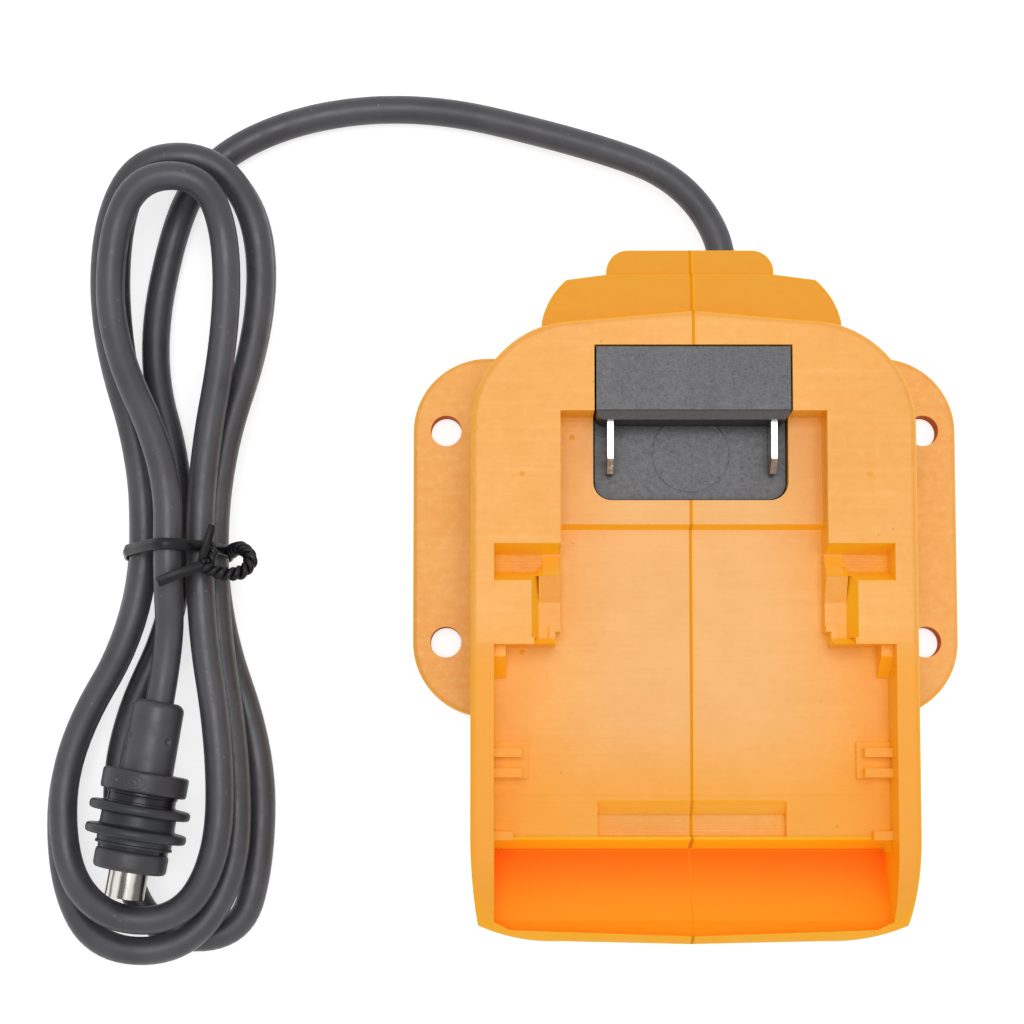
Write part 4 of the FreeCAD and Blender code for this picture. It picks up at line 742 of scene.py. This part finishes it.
def rounded(profile, radius):
    """A profile with each inner corner replaced by a small curve of about this radius."""
    points = [Vector(place) for place in profile]
    made = [points[0]]
    for before, here, after in zip(points, points[1:], points[2:]):
        back = before - here
        on = after - here
        reach = min(radius, back.length * 0.45, on.length * 0.45)
        first = here + back.normalized() * reach
        last = here + on.normalized() * reach
        for step in range(CORNER_STEPS + 1):
            share = step / CORNER_STEPS
            made.append((1 - share) ** 2 * first + 2 * share * (1 - share) * here + share ** 2 * last)
    return made + [points[-1]]


def turned(name, profile, radius, relief=None):
    """A piece turned round the plug's axis, with its profile's corners rounded to this radius."""
    places = rounded(profile, radius)
    around = AROUND
    if relief:
        around = RELIEF_AROUND
        dense = [places[0]]
        for first, last in zip(places, places[1:]):
            count = max(1, math.ceil((last - first).length / RELIEF_STEP))
            dense += [first.lerp(last, step / count) for step in range(1, count + 1)]
        places = dense
    build = bmesh.new()
    rings = []
    for along, out in places:
        on_axis = PLUG_TOP + PLUG_WAY * along
        if out < TINY:
            rings.append([build.verts.new(mm(*on_axis))])
            continue
        ring = []
        for number in range(around):
            turn = 2 * math.pi * number / around
            lift = relief(along, turn) if relief else 0.0
            way = PLUG_SIDE * math.cos(turn) + Vector((0, 0, math.sin(turn)))
            ring.append(build.verts.new(mm(*(on_axis + way * (out + lift)))))
        rings.append(ring)
    skin(build, rings)
    bmesh.ops.recalc_face_normals(build, faces=build.faces)
    return smooth_piece(name, build)


plug_sleeve = turned("plug_sleeve", SLEEVE, 0.6, boot_relief)
finish(plug_sleeve, "plug_body")
plug_collar = turned("plug_collar", COLLAR, 0.6, boot_relief)
finish(plug_collar, "plug_body", "collar_rubber")
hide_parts("plug_boot")
plug_neck = turned("plug_neck", NECK, 0.12)
finish(plug_neck, "plug_body", "neck_rubber")
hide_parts("plug_core")
plug_nose = turned("plug_nose", NOSE, 0.9)
finish(plug_nose, "plug_body", "nose_rubber")
seal_rear = turned("seal_rear", REAR_FIN, 0.75)
finish(seal_rear, "plug_seal")
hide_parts("plug_seal_rear")
seal_front = turned("seal_front", FRONT_FIN, 0.7)
finish(seal_front, "plug_seal")
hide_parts("plug_seal_front")
sleeve_contact = turned("sleeve_contact", BARREL, 0.22)
finish(sleeve_contact, "contact_metal", "barrel_nickel")
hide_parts("plug_barrel")


# ---------------------------------------------------------------- tie
TIE_PLACE = -3.9
TIE_REACH = CORD_DIAMETER / 2 + 0.45 + 0.2  # from a cord's axis to the middle of the band
TIE_CURL = [(-84.4, -4.4, 12.6), (-82.9, -3.4, 15.2), (-80.9, -4.2, 17.8), (-79.3, -6.2, 19.4),
            (-80.3, -8.6, 20.3), (-83.0, -9.4, 20.9), (-85.9, -8.8, 21.4), (-88.2, -7.4, 22.0)]
TIE_FLAT_END = [(-87.2, -7.4, 21.9), (-89.8, -8.4, 22.9), (-92.6, -9.6, 23.9), (-95.5, -10.9, 24.3)]
TIE_UPRIGHT = [(-88.2, -7.2, 21.6), (-87.6, -5.2, 22.6), (-86.7, -2.8, 22.9), (-86.0, -0.5, 23.1)]
TIE_CROSS = [(-86.9, -3.4, 19.6), (-86.0, -5.0, 21.0), (-86.9, -7.4, 21.9)]
STRIP_STEP = 0.25
STRIP_SPOTS = 28
STRIP_RIDGE_SHARE = 0.3
ROPE_STEP = 0.2
ROPE_SPOTS = 12
ROPE_STRANDS = 2
ROPE_TURNS_PER_MM = 0.36
ROPE_FLATNESS = 0.8


def along_spline(points, step, closed=False):
    """Places a step apart (mm) along a smooth spline through control points in millimetres."""
    data = nurbs("guide", points, order=4 if len(points) > 3 else 3, resolution=24, closed=closed)
    holder = bpy.data.objects.new("guide", data)
    line = bpy.data.meshes.new_from_object(holder)
    places = [vertex.co.copy() for vertex in line.vertices]
    if closed:
        places.append(places[0].copy())
    bpy.data.objects.remove(holder)
    bpy.data.curves.remove(data)
    bpy.data.meshes.remove(line)
    lengths = [0.0]
    for first, last in zip(places, places[1:]):
        lengths.append(lengths[-1] + (last - first).length)
    count = max(4, round(lengths[-1] / step))
    made, index = [], 0
    for number in range(count + (0 if closed else 1)):
        want = lengths[-1] * number / count
        while index < len(lengths) - 2 and lengths[index + 1] < want:
            index += 1
        span = lengths[index + 1] - lengths[index]
        made.append(places[index].lerp(places[index + 1], (want - lengths[index]) / max(span, TINY)))
    return made


def frames(line, first_up, closed=False):
    """The side and the up at each place of a line, turned as little as possible."""
    made = []
    up = Vector(first_up)
    count = len(line)
    for number in range(count):
        before = line[number - 1] if closed or number else line[0]
        after = line[(number + 1) % count] if closed or number < count - 1 else line[-1]
        way = (after - before).normalized()
        up = (up - way * up.dot(way)).normalized()
        made.append((way.cross(up), up.copy()))
    return made


def swept(build, rims, closed=False):
    """Skins a list of rims and caps the ends."""
    rings = [[build.verts.new(mm(*spot)) for spot in rim] for rim in rims]
    skin(build, rings, closed)
    if not closed:
        build.faces.new(rings[0][::-1])
        build.faces.new(rings[-1])


def strip_section(half_wide, half_thick, wire):
    """A flat strip with rounded edges and a ridge along the wire in its middle."""
    spots = []
    for number in range(STRIP_SPOTS):
        turn = 2 * math.pi * number / STRIP_SPOTS
        side = math.copysign(abs(math.cos(turn)) ** 0.55, math.cos(turn)) * half_wide
        up = math.copysign(abs(math.sin(turn)) ** 0.8, math.sin(turn)) * half_thick
        if abs(up) > TINY:
            up += math.copysign(wire * math.exp(-(side / (STRIP_RIDGE_SHARE * half_wide)) ** 2), up)
        spots.append((side, up))
    return spots


def strip(build, points, first_up, half_wide, half_thick, wire, closed=False, twist=0.0):
    """A wired strip along a smooth line, twisted by this angle over its length."""
    line = along_spline(points, STRIP_STEP, closed)
    section = strip_section(half_wide, half_thick, wire)
    rims = []
    for number, (place, (side, up)) in enumerate(zip(line, frames(line, first_up, closed))):
        turn = twist * number / len(line)
        flat = side * math.cos(turn) + up * math.sin(turn)
        proud = up * math.cos(turn) - side * math.sin(turn)
        rims.append([place + flat * a + proud * b for a, b in section])
    swept(build, rims, closed)


def rope(build, points, first_up, radius, offset):
    """Strands laid round each other along a smooth line."""
    line = along_spline(points, ROPE_STEP)
    ways = frames(line, first_up)
    turns = [2 * math.pi * number / ROPE_SPOTS for number in range(ROPE_SPOTS)]
    for strand in range(ROPE_STRANDS):
        centres = []
        for number, (place, (side, up)) in enumerate(zip(line, ways)):
            turn = 2 * math.pi * (ROPE_TURNS_PER_MM * number * ROPE_STEP + strand / ROPE_STRANDS)
            centres.append(place + (side * math.cos(turn) + up * math.sin(turn)) * offset)
        swept(build, [[centre + (side * math.cos(turn) * radius + up * math.sin(turn) * radius * ROPE_FLATNESS)
                       for turn in turns]
                      for centre, (side, up) in zip(centres, frames(centres, first_up))])


def waist_hull():
    """The outermost cords of the waist as (x, z), against the clock, as in part.py."""
    waist = [(WAIST_DOWN[0], WAIST_DOWN[2])]
    waist += [(loop[station][0], loop[station][2]) for loop in LOOPS for station in WAIST_STATIONS]
    waist.sort()
    around = []
    for ordered in (waist, waist[::-1]):
        half = []
        for spot in ordered:
            while len(half) > 1 and ((half[-1][0] - half[-2][0]) * (spot[1] - half[-2][1])
                                     - (half[-1][1] - half[-2][1]) * (spot[0] - half[-2][0])) <= 0:
                half.pop()
            half.append(spot)
        around += half[:-1]
    return around


def band_points():
    """Places round the waist at the band's reach, with three at every cord that it bends round."""
    hull = waist_hull()
    points = []
    for index, (x, z) in enumerate(hull):
        before = hull[index - 1]
        after = hull[(index + 1) % len(hull)]
        turn_in = math.atan2(z - before[1], x - before[0]) - math.pi / 2
        turn_out = math.atan2(after[1] - z, after[0] - x) - math.pi / 2
        if turn_out < turn_in:
            turn_out += 2 * math.pi
        middle_reach = TIE_REACH / max(0.9, math.cos((turn_out - turn_in) / 4))
        for share, reach in ((0.0, TIE_REACH), (0.5, middle_reach), (1.0, TIE_REACH)):
            turn = turn_in + (turn_out - turn_in) * share
            points.append(Vector((x + math.cos(turn) * reach, TIE_PLACE, z + math.sin(turn) * reach)))
    return points


build = bmesh.new()
strip(build, band_points(), (0, 0, -1), half_wide=1.05, half_thick=0.36, wire=0.22, closed=True)
rope(build, TIE_CURL, (0, 1, 0), radius=0.7, offset=0.68)
rope(build, TIE_CROSS, (0, 1, 0), radius=0.55, offset=0.5)
strip(build, TIE_FLAT_END, (0, 0, 1), half_wide=0.95, half_thick=0.35, wire=0.25, twist=0.6)
strip(build, TIE_UPRIGHT, (0, 0, 1), half_wide=0.75, half_thick=0.35, wire=0.25, twist=-0.9)
bmesh.ops.recalc_face_normals(build, faces=build.faces)
wire_tie = smooth_piece("wire_tie", build)
finish(wire_tie, "tie_plastic")
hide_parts("cable_tie")


# ---------------------------------------------------------------- small moulded marks on the shells
PIPS = [(-30.8, 8.7, 23.0), (31.5, 8.7, 23.0), (-30.7, -22.7, 14.5), (-21.6, 16.4, 16.2)]
PIP_RADIUS = 0.55
PIP_HEIGHT = 0.3
PIP_AROUND = 20
# Rings of a pip: share of its radius, share of its height
PIP_RINGS = ((1.0, -0.05), (0.8, 0.1), (0.5, 0.7), (0.2, 1.0))
build = bmesh.new()
for x, y, z in PIPS:
    rings = []
    for share, lift in PIP_RINGS:
        turns = [2 * math.pi * number / PIP_AROUND for number in range(PIP_AROUND)]
        rings.append([build.verts.new(mm(x + PIP_RADIUS * share * math.cos(turn),
                                         y + PIP_RADIUS * share * math.sin(turn), z + PIP_HEIGHT * lift))
                      for turn in turns])
    skin(build, rings)
    build.faces.new(rings[-1])
mould_pips = smooth_piece("mould_pips", build)
finish(mould_pips, "shell")


# ---------------------------------------------------------------- floor, world and lamp
FLOOR_SIZE = 6
FLOOR_PLACE = (-0.03, 0, -0.0002)
FLOOR_SHADE = 0.50
FLOOR_GLOW = 0.68
WORLD_LIGHT = 0.76
SOFTBOX_PLACE = (0.0, 0.05, 0.9)
SOFTBOX_AIM = (0, 0, 0)
SOFTBOX_WIDTH = 0.60
SOFTBOX_POWER = 3.6


def seen_directly(tree):
    """1 for camera, glossy and transmission rays, and 0 for the rays that light the object."""
    path = tree.nodes.new("ShaderNodeLightPath")
    value = path.outputs["Is Camera Ray"]
    for ray in ("Is Glossy Ray", "Is Transmission Ray"):
        either = tree.nodes.new("ShaderNodeMath")
        either.operation = "MAXIMUM"
        tree.links.new(value, either.inputs[0])
        tree.links.new(path.outputs[ray], either.inputs[1])
        value = either.outputs[0]
    return value


def paper_white():
    """A floor that is white to the camera and still shows a faint shadow."""
    paper = bpy.data.materials.new("paper")
    paper.use_nodes = True
    tree = paper.node_tree
    tree.nodes.clear()
    out = tree.nodes.new("ShaderNodeOutputMaterial")
    both = tree.nodes.new("ShaderNodeAddShader")
    diffuse = tree.nodes.new("ShaderNodeBsdfDiffuse")
    diffuse.inputs["Color"].default_value = (FLOOR_SHADE, FLOOR_SHADE, FLOOR_SHADE, 1)
    glow = tree.nodes.new("ShaderNodeEmission")
    level = tree.nodes.new("ShaderNodeMath")
    level.operation = "MULTIPLY"
    level.inputs[1].default_value = FLOOR_GLOW
    tree.links.new(seen_directly(tree), level.inputs[0])
    tree.links.new(level.outputs[0], glow.inputs["Strength"])
    tree.links.new(diffuse.outputs[0], both.inputs[0])
    tree.links.new(glow.outputs[0], both.inputs[1])
    tree.links.new(both.outputs[0], out.inputs["Surface"])
    return paper


bpy.ops.mesh.primitive_plane_add(size=FLOOR_SIZE, location=FLOOR_PLACE)
floor = bpy.context.object
floor.name = "floor"
floor.data.materials.append(paper_white())

world = bpy.data.worlds.new("studio")
bpy.context.scene.world = world
world.use_nodes = True
background = world.node_tree.nodes["Background"]
background.inputs["Color"].default_value = (1, 1, 1, 1)
strength = world.node_tree.nodes.new("ShaderNodeMapRange")
strength.inputs["To Min"].default_value = WORLD_LIGHT
strength.inputs["To Max"].default_value = 1.0
world.node_tree.links.new(seen_directly(world.node_tree), strength.inputs["Value"])
world.node_tree.links.new(strength.outputs["Result"], background.inputs["Strength"])

softbox_data = bpy.data.lights.new("softbox", "AREA")
softbox_data.shape = "DISK"
softbox_data.size = SOFTBOX_WIDTH
softbox_data.energy = SOFTBOX_POWER
softbox = add_object("softbox", softbox_data)
softbox.location = SOFTBOX_PLACE
softbox.rotation_euler = (Vector(SOFTBOX_AIM) - Vector(SOFTBOX_PLACE)).to_track_quat("-Z", "Y").to_euler()

bpy.context.scene.view_settings.view_transform = "Standard"
